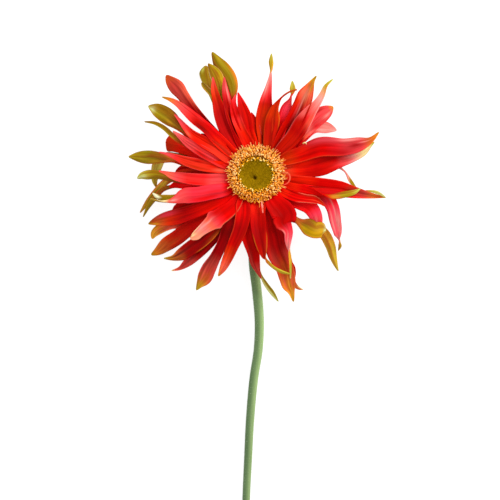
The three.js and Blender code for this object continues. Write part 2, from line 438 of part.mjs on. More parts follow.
// The bowl is one turned body whose top is raised in bumps, one bud to each, in crossing spirals.
function discBuds() {
  const { radius, rim, edge, dip, rings, sectors, relief } = BUD_DISC;
  const bottom = CUP_TOP + GAP;
  const rows = [[radius, bottom]];
  for (let k = 0; k < rings; k++) rows.push([radius * (1 - k / rings), null]);
  const sections = rows.map(([r, height], k) => {
    const section = [];
    for (let j = 0; j < sectors; j++) {
      const bump = (j + k) % 2 === 0 ? relief : 0;
      const bowl = rim - dip * (1 - (r / radius) ** 2) - (k === 1 ? edge : 0);
      section.push(around((2 * Math.PI * j) / sectors, r, height ?? bowl + bump));
    }
    return section;
  });
  const floor = new THREE.Vector3(0, 0, bottom);
  const hole = new THREE.Vector3(0, 0, rim - dip);
  const positions = [...sections.flat(), floor, hole].flatMap((point) => point.toArray());
  const [floorIndex, holeIndex] = [sections.length * sectors, sections.length * sectors + 1];
  const index = [];
  for (let j = 0; j < sectors; j++) {
    const next = (j + 1) % sectors;
    index.push(floorIndex, next, j);
    for (let k = 0; k + 1 < sections.length; k++) {
      const [a, b] = [k * sectors + j, k * sectors + next];
      const [c, d] = [a + sectors, b + sectors];
      if ((j + k) % 2 === 0) index.push(a, b, d, a, d, c);
      else index.push(a, b, c, b, d, c);
    }
    const last = (sections.length - 1) * sectors;
    index.push(last + j, last + next, holeIndex);
  }
  const geometry = new THREE.BufferGeometry();
  geometry.setAttribute("position", new THREE.Float32BufferAttribute(positions, 3));
  geometry.setIndex(index);
  return geometry;
}

// ---- The whole flower ---------------------------------------------------------------------------------------

function piece(name, geometry, color, roughness) {
  const material = new THREE.MeshStandardMaterial({ color, roughness, metalness: 0 });
  const mesh = new THREE.Mesh(geometry, material);
  mesh.name = name;
  return mesh;
}

const flower = new THREE.Group();
flower.add(
  piece("stem", stem(), 0x8fac7c, 0.55),
  piece("involucre", involucre(), 0x7d9a52, 0.6),
  piece("ray_petals", rayPetals(), 0xe01208, 0.45),
  piece("trans_florets", transFlorets(), 0xf0a860, 0.5),
  piece("open_disc_florets", openDiscFlorets(), 0xe8a820, 0.6),
  piece("disc_buds", discBuds(), 0x8c7a08, 0.6),
);

// The origin is under the middle of the flower's box.
const box = new THREE.Box3().setFromObject(flower, true);
const middle = box.getCenter(new THREE.Vector3());
flower.position.set(-middle.x, -middle.y, 0);

export default flower;
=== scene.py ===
# A cut gerbera daisy of the spider kind, lying on its back, with its long bare stem along the ground.
# Metres, +Z up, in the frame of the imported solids. Sizes are written in millimetres, times MM.

import functools
import math
import random

import bmesh
import bpy
import numpy as np
from mathutils import Matrix, Vector


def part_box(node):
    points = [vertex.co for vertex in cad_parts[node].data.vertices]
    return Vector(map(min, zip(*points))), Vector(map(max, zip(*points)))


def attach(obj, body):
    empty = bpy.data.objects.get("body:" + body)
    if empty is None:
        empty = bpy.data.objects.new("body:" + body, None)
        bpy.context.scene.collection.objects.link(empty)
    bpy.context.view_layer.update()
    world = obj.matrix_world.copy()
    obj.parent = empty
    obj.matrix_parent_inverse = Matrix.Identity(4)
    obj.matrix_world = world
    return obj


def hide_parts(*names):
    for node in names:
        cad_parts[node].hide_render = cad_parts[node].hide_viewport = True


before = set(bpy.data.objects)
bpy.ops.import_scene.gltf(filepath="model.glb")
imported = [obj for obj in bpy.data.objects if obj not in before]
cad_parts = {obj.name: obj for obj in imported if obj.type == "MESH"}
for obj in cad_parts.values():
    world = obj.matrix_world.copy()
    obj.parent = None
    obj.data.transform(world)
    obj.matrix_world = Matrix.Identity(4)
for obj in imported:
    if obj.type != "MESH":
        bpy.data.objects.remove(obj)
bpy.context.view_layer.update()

MM = 0.001
UP = Vector((0, 0, 1))
BODY = "root"

# ---- Stem ---------------------------------------------------------------------------------------
# The flower's scape: one bare stalk of fresh green tissue, thickest under the head and faintly ribbed.
# It lies along the ground, turns up at the neck, and is cut straight across at its lower end.

HEAD_LOW, HEAD_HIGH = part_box("disc_buds")
HEAD = Vector(((HEAD_LOW[0] + HEAD_HIGH[0]) / 2, (HEAD_LOW[1] + HEAD_HIGH[1]) / 2, 0))
STEM_LENGTH = 222
STEM_NECK_RADIUS = 2.75
STEM_END_RADIUS = 1.65
STEM_SIDES = 28
STEM_STEPS = 160
STEM_RIBS = 9
STEM_RIB_DEPTH = 0.03
VEINS_HIGH = 0.62
# Where the stem's middle passes: x, y and height at the neck, then x and y along the ground.
NECK = [(0, 0, 12.2), (0, 0, 11), (0, -0.6, 9), (0, -2.2, 6.6), (0, -5.2, 4.4), (-0.2, -9.5, 3.2),
        (-0.5, -16, 2.7)]
SWAY = [(-1, -28), (-1, -45), (0.5, -57.5), (1.8, -75), (1.2, -88), (-0.8, -101), (-2.8, -122),
        (-3.9, -143), (-4.8, -162), (-5.3, -182), (-5.8, -202), (-6.2, -STEM_LENGTH)]
# Painted light and shade on the stem: a light green on its right side, where the light falls, and a darker
# one on its left, both duller lower down.
STEM_SUN = 0xAAC884
STEM_LOW_SUN = 0x88A068
STEM_SHADE = 0x587244
STEM_LOW_SHADE = 0x46603A
STEM_PATCH = 0x86A070
# Where the painted shade turns to painted light across the stem, and where it turns duller along it.
STEM_PAINTED_LIGHT_SPAN = (-0.38, 1.02)
STEM_DULLING = (0.1, 0.75)


def linear(colour):
    """An sRGB colour such as 0xff8000 as linear red, green, blue and alpha."""
    parts = [(colour >> shift & 255) / 255 for shift in (16, 8, 0)]
    return (*(p / 12.92 if p <= 0.04045 else ((p + 0.055) / 1.055) ** 2.4 for p in parts), 1.0)


def blend(a, b, share):
    """The colour or value that is share of the way from a to b."""
    return tuple(p + (q - p) * share for p, q in zip(a, b))


def ramp(low, high, value):
    """0 below low, 1 above high, and a smooth step between them."""
    t = min(max((value - low) / (high - low), 0), 1)
    return t * t * (3 - 2 * t)


def through(keys, places, measured):
    """Values on a smooth curve through keys, at places from 0 to 1 along it. The first `measured` values
    of a key are its coordinates, which give the distance travelled."""
    keys = np.array(keys, float)
    steps = np.linalg.norm(np.diff(keys[:, :measured], axis=0), axis=1)
    knots = np.concatenate([[0], np.cumsum(steps)])
    slopes = np.gradient(keys, knots, axis=0)
    t = np.array(places) * knots[-1]
    i = np.clip(np.searchsorted(knots, t, side="right") - 1, 0, len(steps) - 1)
    h = steps[i][:, None]
    u = ((t - knots[i]) / steps[i])[:, None]
    return (
        (2 * u**3 - 3 * u**2 + 1) * keys[i]
        + (u**3 - 2 * u**2 + u) * h * slopes[i]
        + (3 * u**2 - 2 * u**3) * keys[i + 1]
        + (u**3 - u**2) * h * slopes[i + 1]
    )


def add(material, kind, sockets=(), **settings):
    """Adds a shader node. Settings set its properties, and sockets its inputs, to values or to outputs."""
    node = material.node_tree.nodes.new("ShaderNode" + kind)
    for name, value in settings.items():
        setattr(node, name, value)
    for socket, value in dict(sockets).items():
        if isinstance(value, bpy.types.NodeSocket):
            material.node_tree.links.new(value, node.inputs[socket])
        else:
            node.inputs[socket].default_value = value
    return node


def finish(name, sockets):
    """A material whose shader has these sockets set."""
    material = bpy.data.materials.new(name)
    material.use_nodes = True
    for socket, value in sockets.items():
        material.node_tree.nodes["Principled BSDF"].inputs[socket].default_value = value
    return material


def streaked(material, tint, veins, low, shade):
    """The tint, multiplied by this share of red, green and blue where the veins are under low."""
    level = add(material, "ValToRGB", {"Fac": veins})
    for stop, place, colour in zip(level.color_ramp.elements, (low, VEINS_HIGH), (shade, (1, 1, 1))):
        stop.position, stop.color = place, (*colour, 1)
    return add(material, "MixRGB", {"Fac": 1.0, "Color1": tint, "Color2": level.outputs["Color"]},
               blend_type="MULTIPLY").outputs["Color"]


def dress(material, colour, height, strength, depth):
    """Links a colour to the material's shader, and a bump of this depth in millimetres."""
    bump = add(material, "Bump", {"Height": height, "Strength": strength, "Distance": depth * MM})
    for output, socket in ((colour, "Base Color"), (bump.outputs["Normal"], "Normal")):
        material.node_tree.links.new(output, material.node_tree.nodes["Principled BSDF"].inputs[socket])


def painted():
    """A new mesh whose vertices carry a colour, and a place in their petal's own grain."""
    bm = bmesh.new()
    bm.verts.layers.float_color.new("tint")
    bm.verts.layers.float_vector.new("grain")
    return bm


def rolled_grid(bm, around, along, place):
    """Adds a skin rolled from a grid: place(v, turn, row, tint, grain) puts a vertex and fills its two
    layers, turn running from 0 to 1 round the skin."""
    roll = painted()
    layers = roll.verts.layers.float_color["tint"], roll.verts.layers.float_vector["grain"]
    for v in bmesh.ops.create_grid(roll, x_segments=around, y_segments=along, size=1)["verts"]:
        place(v, (v.co.x + 1) / 2, round((v.co.y + 1) / 2 * along), *layers)
    bmesh.ops.remove_doubles(roll, verts=roll.verts, dist=0.0005 * MM)
    skin = bpy.data.meshes.new("skin")
    roll.to_mesh(skin)
    roll.free()
    bm.from_mesh(skin)
    bpy.data.meshes.remove(skin)


def linked(name, data):
    """A new object with this data, in the scene."""
    made = bpy.data.objects.new(name, data)
    bpy.context.scene.collection.objects.link(made)
    return made


def piece(name, bm, material, slot, *nodes):
    """The finished mesh as a piece of the flower, with its material, in place of these solids."""
    bmesh.ops.recalc_face_normals(bm, faces=bm.faces)
    mesh = bpy.data.meshes.new(name)
    bm.to_mesh(mesh)
    bm.free()
    mesh.polygons.foreach_set("use_smooth", [True] * len(mesh.polygons))
    mesh.materials.append(material)
    made = linked(name, mesh)
    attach(made, BODY)
    if nodes:
        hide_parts(*nodes)


def stem_radius(y):
    """The stem's radius at y millimetres from the middle of the head."""
    return STEM_NECK_RADIUS + (STEM_END_RADIUS - STEM_NECK_RADIUS) * min(max(-y / STEM_LENGTH, 0), 1)


stem_keys = NECK + [(x, y, stem_radius(y)) for x, y in SWAY]
stem_spine = through(stem_keys, np.linspace(0, 1, STEM_STEPS + 1), 3)
stem_along = np.gradient(stem_spine, axis=0)


def stem_surface(row, angle):
    """A point on the stem's skin, in metres, and the way it faces."""
    middle, along = Vector(stem_spine[row]), Vector(stem_along[row]).normalized()
    side = Vector((1, 0, 0))
    side = (side - along * side.dot(along)).normalized()
    out = side * math.cos(angle) + along.cross(side) * math.sin(angle)
    point = middle + out * (stem_radius(middle.y) - STEM_RIB_DEPTH * (1 + math.cos(STEM_RIBS * angle)))
    point.z = max(point.z, 0)
    return HEAD + point * MM, out


def place_stem(v, turn, row, tint_layer, grain_layer):
    """Puts a vertex of the stem's skin, with painted light on its right side, painted shade on its left, and
    duller lower down.
    """
    v.co, out = stem_surface(row, 2 * math.pi * turn)
    low = ramp(*STEM_DULLING, row / STEM_STEPS)
    shade = blend(linear(STEM_SHADE), linear(STEM_LOW_SHADE), low)
    sun = blend(linear(STEM_SUN), linear(STEM_LOW_SUN), low)
    v[tint_layer] = blend(shade, sun, ramp(*STEM_PAINTED_LIGHT_SPAN, out.x))


stem = painted()
rolled_grid(stem, STEM_SIDES, STEM_STEPS, place_stem)
bmesh.ops.holes_fill(stem, edges=[e for e in stem.edges if e.is_boundary], sides=STEM_SIDES)
for face in [f for f in stem.faces if len(f.verts) == STEM_SIDES]:
    bmesh.ops.inset_region(stem, faces=[face], thickness=0.25 * MM, depth=-0.08 * MM)

# Fresh stem skin: a thin waxy cuticle over pale green tissue, so it has a soft sheen and faint streaks.
stem_green = finish("fresh_stem_skin", {"Roughness": 0.5, "IOR": 1.45, "Specular IOR Level": 0.2})
place = add(stem_green, "TexCoord").outputs["Object"]
streak_place = add(stem_green, "Mapping", {"Vector": place, "Scale": (1500, 25, 1500)}).outputs["Vector"]
streak = add(stem_green, "TexNoise", {"Vector": streak_place, "Scale": 1.0, "Detail": 3.0}).outputs["Fac"]
patch = add(stem_green, "TexNoise", {"Vector": place, "Scale": 45.0, "Detail": 2.0}).outputs["Fac"]
tint = add(stem_green, "Attribute", attribute_name="tint").outputs["Color"]
striped = streaked(stem_green, tint, streak, 0.3, (0.72, 0.78, 0.7))
share = add(stem_green, "Math", {0: patch, 1: 0.4}, operation="MULTIPLY").outputs["Value"]
cool = add(stem_green, "MixRGB", {"Fac": share, "Color1": striped, "Color2": linear(STEM_PATCH)})
dress(stem_green, cool.outputs["Color"], streak, 0.3, 0.05)
piece("stem_skin", stem, stem_green, "stem_green", "stem")

# The stem's hairs: short, fine and pale, standing out and down along the whole stalk.

HAIR_COUNT = 2600
HAIR_LENGTH = (0.35, 0.8)
HAIR_RADIUS = 0.028
HAIR_SPREAD = 0.35

luck = random.Random(3)
hairs = bmesh.new()
for _ in range(HAIR_COUNT):
    root, out = stem_surface(luck.randint(6, STEM_STEPS - 1), luck.uniform(0, 2 * math.pi))
    length = luck.uniform(*HAIR_LENGTH)
    astray = Vector([luck.uniform(-HAIR_SPREAD, HAIR_SPREAD) for _ in range(3)])
    way = out + astray - Vector((0, HAIR_SPREAD, 0))
    if root.z + way.z * length * MM < 0.1 * MM:
        continue
    turn = way.to_track_quat("Z", "Y").to_matrix().to_4x4()
    middle = Matrix.Translation(root + way.normalized() * length * MM / 2)
    bmesh.ops.create_cone(hairs, segments=3, radius1=HAIR_RADIUS * MM, radius2=HAIR_RADIUS * MM / 4,
                          depth=length * MM, cap_ends=True, matrix=middle @ turn)

# Plant hair: dry, colourless cells that catch the light.
hair_pale = finish("plant_hair", {"Base Color": linear(0xDCE6C8), "Roughness": 0.6})
piece("stem_hairs", hairs, hair_pale, "stem_green")

# ---- Involucre ----------------------------------------------------------------------------------
# The green cup under the head, with the plate on top that carries all the florets. Three rows of
# pointed bracts overlap up its side, in firm green tissue with reddish tips.

CUP_BOTTOM = 12.5
CUP_TOP = 25
CUP_PROFILE = [(0, CUP_BOTTOM), (2.9, CUP_BOTTOM), (4.2, 13.4), (7.2, 15.4), (10, 18.2), (12, 21.4),
               (13.3, CUP_TOP), (0, CUP_TOP)]
CUP_SIDES = 64
BRACT_ROWS = [
    dict(count=24, turn=0, width=3, path=[(8.6, 16.7), (12.2, 20.2), (14.4, 22), (16.2, 22.7)]),
    dict(count=18, turn=0.5, width=3.2, path=[(5.6, 14.3), (9.6, 17), (12.6, 19.6), (14.6, 20.7)]),
    dict(count=12, turn=0.2, width=2.8, path=[(3.4, 12.9), (6.6, 14.5), (9.6, 16.6), (11.6, 17.7)]),
]
BRACT_THICKNESS = 0.5
BRACT_STEPS = 14
BRACT_GREEN = 0x86A052
BRACT_TIP = 0x8A5A3A


def around(angle, radius, height):
    """A point round the head's upright axis, in millimetres from its foot."""
    return Vector((radius * math.cos(angle), radius * math.sin(angle), height))


def grain_by_place(bm):
    """Gives all vertices the grain of the place they are at."""
    for v in bm.verts:
        v[bm.verts.layers.float_vector["grain"]] = (v.co - HEAD) / MM


def paint(bm, verts, colour):
    """Gives these vertices one colour."""
    for v in verts:
        v[bm.verts.layers.float_color["tint"]] = colour


def lathe(bm, profile, sides, colour, closed=False):
    """Turns a profile of (radius, height) round the head's axis, in one colour. It may be a closed one."""
    corners = [bm.verts.new(HEAD + Vector((r, 0, z)) * MM) for r, z in profile]
    pairs = zip(corners[-1:] + corners, corners) if closed else zip(corners, corners[1:])
    edges = [bm.edges.new(pair) for pair in pairs]
    bmesh.ops.spin(bm, geom=corners + edges, cent=HEAD, axis=UP, angle=2 * math.pi, steps=sides,
                   use_merge=True)
    bmesh.ops.remove_doubles(bm, verts=bm.verts[:], dist=0.001 * MM)
    paint(bm, bm.verts, linear(colour))
    grain_by_place(bm)


def strap(bm, spine, widths, rolls, columns, thickness, lift, tint, number=0):
    """Adds a leaf-like body along a spine. Its surface stands lift(a, s) over the spine and has the colour
    tint(a, s, upper), for a from -1 to 1 across it and s from 0 to 1 along it."""
    rows = len(spine) - 1
    steps = np.linalg.norm(np.diff(np.array(spine), axis=0), axis=1)
    travelled = np.concatenate([[0], np.cumsum(steps)])
    ways = np.gradient(np.array(spine), axis=0)
    frames = []
    for i in range(rows + 1):
        way = Vector(ways[i]).normalized()
        side = Matrix.Rotation(math.radians(rolls[i]), 3, way) @ UP.cross(way).normalized()
        frames.append((Vector(spine[i]), side, way.cross(side)))

    def place(v, turn, row, tint_layer, grain_layer):
        upper = turn <= 0.5
        a = 1 - 4 * turn if upper else 4 * turn - 3
        s = travelled[row] / travelled[-1]
        middle, side, normal = frames[row]
        half = (thickness / 2) * math.sqrt(1 - a**6) * (0 if row in (0, rows) else 1)
        half *= 1 + math.sin(math.radians(rolls[row])) ** 2
        shown = rolls[row] < 90 if abs(a) > 0.99 else upper
        height = lift(a, s) + (half if upper else -half)
        point = middle + side * (a * widths[row] / 2) + normal * height
        point.z = max(point.z, 0)
        v.co = HEAD + point * MM
        v[tint_layer] = tint(a, s, shown)
        v[grain_layer] = (a * 4, travelled[row], number * 10 + (0 if upper else 5))

    rolled_grid(bm, 2 * columns, rows, place)


bm = painted()
rings = through([(r, z) for r, z in CUP_PROFILE[1:-1]], np.linspace(0, 1, 12), 2)
lathe(bm, [CUP_PROFILE[0], *rings, CUP_PROFILE[-1]], CUP_SIDES, BRACT_GREEN)
luck = random.Random(5)
places = np.linspace(0, 1, BRACT_STEPS + 1)
for bract_row in BRACT_ROWS:
    widths = [bract_row["width"] * (1 - 0.3 * p) * math.sqrt(1 - p**5) + 0.05 for p in places]
    for i in range(bract_row["count"]):
        angle = 2 * math.pi * (i + bract_row["turn"]) / bract_row["count"] + luck.uniform(-0.05, 0.05)
        flare = luck.uniform(0.95, 1.06)
        spine = [around(angle, r * flare, z) for r, z in through(bract_row["path"], places, 2)]
        strap(bm, spine, widths, [0] * len(spine), 5, BRACT_THICKNESS, lambda a, s: 0.35 * (a * a - 0.5),
              lambda a, s, upper: blend(linear(BRACT_GREEN), linear(BRACT_TIP), ramp(0.75, 1, s)), i)

# Bract: firm matt green leaf tissue with fine veins along it.
bract_green = finish("bract_tissue", {"Roughness": 0.6, "IOR": 1.45, "Specular IOR Level": 0.2})


def grained(material, across, along, depth, shade):
    """Colours a material by the tint of its vertices, with fine streaks along its grain: so many to a
    millimetre across and along, so deep in millimetres, and shaded by this share of red, green and blue."""
    grain = add(material, "Attribute", attribute_name="grain").outputs["Vector"]
    place = add(material, "Mapping", {"Vector": grain, "Scale": (across, along, 1)}).outputs["Vector"]
    veins = add(material, "TexNoise", {"Vector": place, "Scale": 1.0, "Detail": 4.0, "Roughness": 0.65})
    tint = add(material, "Attribute", attribute_name="tint").outputs["Color"]
    height = veins.outputs["Fac"]
    dress(material, streaked(material, tint, height, 0.32, shade), height, 0.6, depth)


grained(bract_green, 1.6, 0.15, 0.12, (0.75, 0.85, 0.7))
piece("involucre_cup", bm, bract_green, "bract_green", "involucre")

# ---- Ray petals ---------------------------------------------------------------------------------
# The long petals of the ray florets, in four loose layers that grow from one ring. They are thin satin
# tissue, red above and olive green below, channelled along their length, and many curl or twist.

# The petals' colours. The deep reds DARK, WINE and MAROON are partly the petals' own deep red and partly
# painted shade where petals lie low under others.
RED = 0xDA0200
FIRE = 0xEC1A02
FLAME = 0xCC2A02
BRICK = 0xBE1202
DARK = 0xAC0202
WINE = 0x9A0004
MAROON = 0x7C0202
ROSE = 0xEE1C24
PINK = 0xF24A4C
SALMON_RED = 0xF87670
PALE = 0xFF9E98
HOT_PINK = 0xF83A54
CORAL = 0xFA6248
DUSTY = 0xC43A32
CREAM = 0xF4D898
BUTTER = 0xFFECA8
FROST = 0xF2F4D0
ORANGE = 0xE08020
AMBER = 0xC8921E
COPPER = 0xCE6226
RUST = 0xB84818
DULL = 0xA4322A
BROWN = 0x8A4A0E
GOLDEN = 0xC2980C
OLIVE = 0xA0840A
PINE = 0x76740A
MOSS = 0x8C7008
MUSTARD = 0xB89E22
LIME = 0xC4C850
PALE_LIME = 0xDCE29C
CRIMSON = 0xBE0200
SCARLET = 0xCC0800
VIVID = 0xFE0E12
POPPY = 0xF62E2C
TOMATO = 0xEA2E1A
CERISE = 0xF63042
MELON = 0xE44248
EMBER = 0xE64020
SHRIMP = 0xF99474
SAFFRON = 0xF0A830
HONEY = 0xE0B838
OCHRE = 0xB08204
CITRON = 0xB4B030
FLUSH = 0xFE5464
LEMON = 0xF4EE78

# The colours of a petal that has none of its own, from the ring (0) to the tip (100).
PETAL_TOP = (60, RED, 100, ROSE)
PETAL_UNDER = (0, RED, 60, BRICK, 80, OLIVE, 100, MUSTARD)
UNDER = 180
PETALS = []


def ray(layer, mid, tip, keys, top=PETAL_TOP, under=PETAL_UNDER, **looks):
    """Adds a petal to the list. Layer 0 is the front one and 3 the back one, and mid and tip are its
    heights at half its length and at its tip. Its keys are (x, y, width, roll), in millimetres and degrees:
    where its midrib passes, how wide it is there and how far it is rolled over. A key without a roll keeps
    the last one. Its colours run along it, on top and under, each after its place. Fold is how deep its
    channel is, and grooves how deep its furrows are, how dark their painted shade is and how bright the
    painted highlights on its ridges are. Rim is the colour of its margins, with the side (0 is both), where
    it starts and where it ends: partly their own colour, partly a painted highlight along the edge. Marks
    are soft patches (along, across, two half sizes, colour): some the petal's own blotches and streaks of
    colour, some painted shade in its folds and painted highlights on its ridges and edges.
    Places and sizes of colours are in hundredths: of its length along it, and of half its width across."""
    PETALS.append(dict(layer=layer, mid=mid, tip=tip, keys=keys, top=top, under=under, **looks))


# Twelve to two o'clock.
ray(1, 26.5, 24, [(4, 14.5, 5.5), (4.3, 28.5, 8.8), (4.8, 35, 7), (6.3, 43.5, 3.5), (7.2, 50, 2.1, 60),
    (7.5, 53, 2, 130), (7.6, 56.5, 2.4, UNDER), (7.8, 60.8, 0.6)], (38, FLAME, 48, BRICK, 55, ROSE,
    66, PINK, 84, PALE), (80, AMBER, 90, MUSTARD, 100, LIME), marks=[(52, -80, 8, 35, DARK),
    (68, 50, 10, 40, PALE), (34, 60, 10, 40, BRICK)])
ray(0, 29, 31, [(6, 14, 5), (7, 20, 6.5), (8.3, 27.5, 7.3), (9.8, 34, 3.6), (12.5, 38.3, 1.1, 40),
    (16, 41, 0.9, 70), (20.5, 42.5, 0.7, 90)], (0, FLAME, 20, BRICK, 38, BRICK, 50, FLAME, 60, FLAME,
    80, BRICK, 100, RUST), (60, FLAME, 100, RUST), rim=(ORANGE, -1, 30, 70))
ray(1.2, 26, 22, [(9.5, 15, 5), (13.5, 27.5, 6), (15.5, 34.5, 5.2, 20), (17.6, 39.5, 2.2, 90),
    (18.4, 43.4, 3, UNDER), (18.2, 47.2, 0.7)], (0, ROSE, 44, VIVID, 60, HOT_PINK, 80, PINK), (75, ROSE,
    84, MUSTARD, 100, LIME), marks=[(55, 80, 20, 20, RED)])
ray(0.8, 27.5, 27, [(11, 13.5, 6.5), (15.3, 20.5, 8.6), (19.8, 28, 9), (23, 35, 8.6), (24.9, 40, 7.8),
    (26.7, 43.5, 5), (28.2, 46.5, 2.4), (30.3, 49.5, 0.6)], (0, BRICK, 50, CRIMSON, 60, BRICK, 68, FLAME,
    78, CORAL, 87, COPPER, 94, AMBER, 100, OLIVE), fold=0.55, grooves=0.28, marks=[(68, 10, 16, 7, PALE),
    (60, 35, 14, 7, PINK), (60, -12, 16, 7, DARK), (56, -45, 16, 9, PINK), (86, -40, 6, 30, AMBER),
    (72, -30, 6, 10, RUST), (74, -75, 10, 14, CORAL), (66, 85, 20, 12, BRICK), (76, 0, 8, 30, SHRIMP)])
ray(0, 29, 28, [(12.5, 12.5, 6), (18.2, 18.4, 7.6), (23.4, 26.2, 8.3), (27, 31.3, 6.2), (30, 35, 4.4),
    (33, 39.8, 3), (35, 44.5, 1.8), (38.5, 47.8, 0.6)], (28, BRICK, 36, DARK, 46, CRIMSON, 54, ROSE,
    66, SALMON_RED, 76, PALE, 90, MUSTARD, 100, LIME), fold=0.55, rim=(PALE, -1, 38, 80), grooves=0.18,
    marks=[(88, -80, 6, 40, ORANGE), (55, 60, 6, 40, SALMON_RED), (52, -65, 8, 30, CORAL),
    (44, 30, 7, 50, BRICK)])
ray(2, 23.5, 17, [(17, 12.5, 5), (23, 20.5, 6.5), (28.5, 26, 7.5), (33.3, 30.4, 7.8), (36.4, 32.6, 5.2),
    (38.8, 34.3, 1)], (30, DARK, 40, CRIMSON, 47, CORAL, 55, SALMON_RED, 66, MELON, 80, MELON, 93, PINK,
    100, AMBER), fold=0.35, grooves=0.2, marks=[(72, 5, 15, 6, DARK), (78, 65, 10, 14, DARK),
    (86, -50, 8, 20, PALE), (66, -60, 6, 30, ROSE), (75, -60, 7, 25, PINK)])
ray(3, 17, 0.2, [(16, 10, 5), (22.8, 18.7, 6), (29.8, 23.9, 5.4), (35, 24.2, 5.8), (38, 23.7, 3.8),
    (40.8, 22.8, 0.8)], (32, DARK, 42, CRIMSON, 52, ROSE, 64, PINK, 84, SALMON_RED, 100, PALE), fold=0.2,
    marks=[(80, 40, 12, 30, PALE), (74, -50, 10, 30, PALE)])

# Two to four o'clock.
ray(0, 29, 30, [(14, 7.5, 6), (22, 10, 7.5), (32, 13.8, 9.8), (44.5, 13.8, 8.6), (52, 15.3, 7),
    (56.8, 17, 3.6), (61.5, 21.3, 0.6)], (12, FLAME, 22, SCARLET, 36, CRIMSON, 46, RED, 57, ROSE, 68, MELON,
    80, MELON, 88, COPPER, 95, ORANGE, 100, AMBER), fold=0.5, rim=(EMBER, -1, 2, 60), grooves=0.2,
    marks=[(50, 75, 16, 35, FLUSH), (70, 80, 12, 20, PALE), (75, 0, 8, 35, WINE), (84, 20, 5, 8, PALE),
    (78, -25, 7, 5, PINK), (48, -65, 10, 45, CRIMSON), (62, -60, 14, 55, WINE), (26, 60, 8, 40, FIRE)])
ray(1, 26.5, 26, [(15, 2.5, 6.5), (23, 3.2, 9.2), (32, 4.9, 11.2), (41, 7.6, 8.8), (49, 9.6, 5.8),
    (54, 11.8, 4), (57, 14.4, 1.8), (59.3, 16.5, 0.6)], (8, EMBER, 16, FIRE, 26, SCARLET, 36, CRIMSON,
    50, SCARLET, 57, RED, 65, PINK, 74, PALE, 84, BUTTER, 93, BUTTER, 97, LIME, 100, MUSTARD), fold=0.4,
    rim=(ORANGE, -1, 85, 100), marks=[(55, 70, 14, 40, WINE), (66, -50, 10, 30, PINK),
    (24, 60, 8, 40, FIRE)])
ray(3, 20, 10, [(17, 5, 4), (30, 5, 5), (40, 5, 3, 30), (44.6, 1.9, 1.4, 90), (47.6, -2.8, 2.2, 150),
    (50.5, -6.5, 0.6, UNDER)], (0, ROSE, 60, PALE), (0, ROSE, 80, PALE, 87, OLIVE, 100, MUSTARD), fold=0.2)
ray(1, 26, 14, [(15, -3.5, 6.5), (23, -4.8, 8.5), (32, -6.1, 9.2), (42, -7.1, 8), (49.5, -8.8, 5.8),
    (57, -10.2, 3.2), (65.3, -11.2, 0.6)], (26, FIRE, 36, RED, 58, RED, 66, FLAME, 76, DUSTY, 85, COPPER,
    94, RUST, 97, AMBER, 100, MUSTARD), fold=0.35, rim=(CORAL, -1, 70, 95), grooves=0.35,
    marks=[(60, -60, 20, 20, ROSE), (70, 40, 10, 30, DULL)])
ray(1.3, 25.5, 15, [(15, -4, 4, UNDER), (40, -7, 3), (52, -8.6, 1.2), (56.4, -8, 1), (61, -8.8, 1.6),
    (65, -10.9, 0.6)], under=(0, DARK, 75, BRICK, 83, LIME, 100, PALE_LIME), fold=0.2, rim=PALE_LIME)
ray(0, 29, 24, [(15, -6, 5), (24.5, -8.3, 6), (32, -9.9, 5, 55), (38.5, -10.4, 3.8, 130),
    (45, -9.7, 3.2, UNDER), (49.5, -8.5, 2.3), (52.3, -6.8, 0.6)], (20, FIRE, 28, RED), (0, RED,
    60, SCARLET, 66, COPPER, 75, OLIVE, 87, MUSTARD, 95, LIME, 100, PALE_LIME), rim=(PALE_LIME, 0, 85, 100),
    marks=[(84, 10, 6, 30, OLIVE), (66, 60, 5, 40, AMBER)])
ray(0, 29.5, 27, [(13.5, -8, 5), (20, -11, 5), (25, -11.9, 4.2), (29.5, -12.5, 3.8), (32.5, -14, 2),
    (34.5, -15.8, 0.6)], (20, FIRE, 30, RED, 60, RED, 80, SCARLET, 100, FLAME), rim=(SHRIMP, 0, 40, 100),
    grooves=0.3, marks=[(70, 70, 20, 10, EMBER), (80, -20, 15, 10, EMBER)])
ray(2, 24, 8, [(17, -6.5, 5), (27, -8.5, 6.5), (35, -11, 7.4), (38.2, -16, 6.6), (39.8, -23, 5.8),
    (41, -29, 4), (42.1, -33, 1.1, 90), (42.3, -35.5, 1.8, UNDER), (41.5, -38, 0.6)], (0, RED, 30, VIVID,
    50, VIVID, 57, HOT_PINK, 66, FLUSH, 80, FLUSH, 90, PALE), (85, AMBER, 100, OLIVE), grooves=0.08,
    marks=[(60, 20, 20, 10, PALE), (70, -50, 14, 12, PALE), (80, 60, 10, 15, PALE), (68, 55, 8, 30, PALE),
    (46, -40, 8, 50, CERISE)])

# Four to six o'clock.
ray(2, 26, 19, [(14, -10, 5), (20.5, -13.4, 6.8), (27, -16.2, 7.6), (29.9, -20.6, 6.6), (30.8, -25.5, 4.6),
    (31.5, -29, 1)], (58, VIVID, 70, HOT_PINK, 80, PINK), fold=0.2, grooves=0.08,
    marks=[(86, 0, 10, 20, PALE)])
ray(0.5, 27, 24, [(12, -11, 5), (16.5, -15, 4, 30), (19.2, -20.2, 2.4, 110), (22.2, -23.8, 4.2, UNDER),
    (26, -25.9, 8.4), (30, -27.8, 8), (33.3, -27.2, 7), (35.3, -27.6, 1.4)], (0, RED, 50, FIRE), (0, RED,
    40, FLAME, 50, RUST, 57, COPPER, 66, MOSS, 78, OCHRE, 88, AMBER, 100, GOLDEN), rim=(ORANGE, 1, 35, 100),
    marks=[(68, -55, 10, 50, BROWN), (75, 95, 25, 10, ORANGE), (98, 0, 2, 100, PALE_LIME),
    (86, 60, 10, 30, GOLDEN), (66, 50, 6, 30, GOLDEN)])
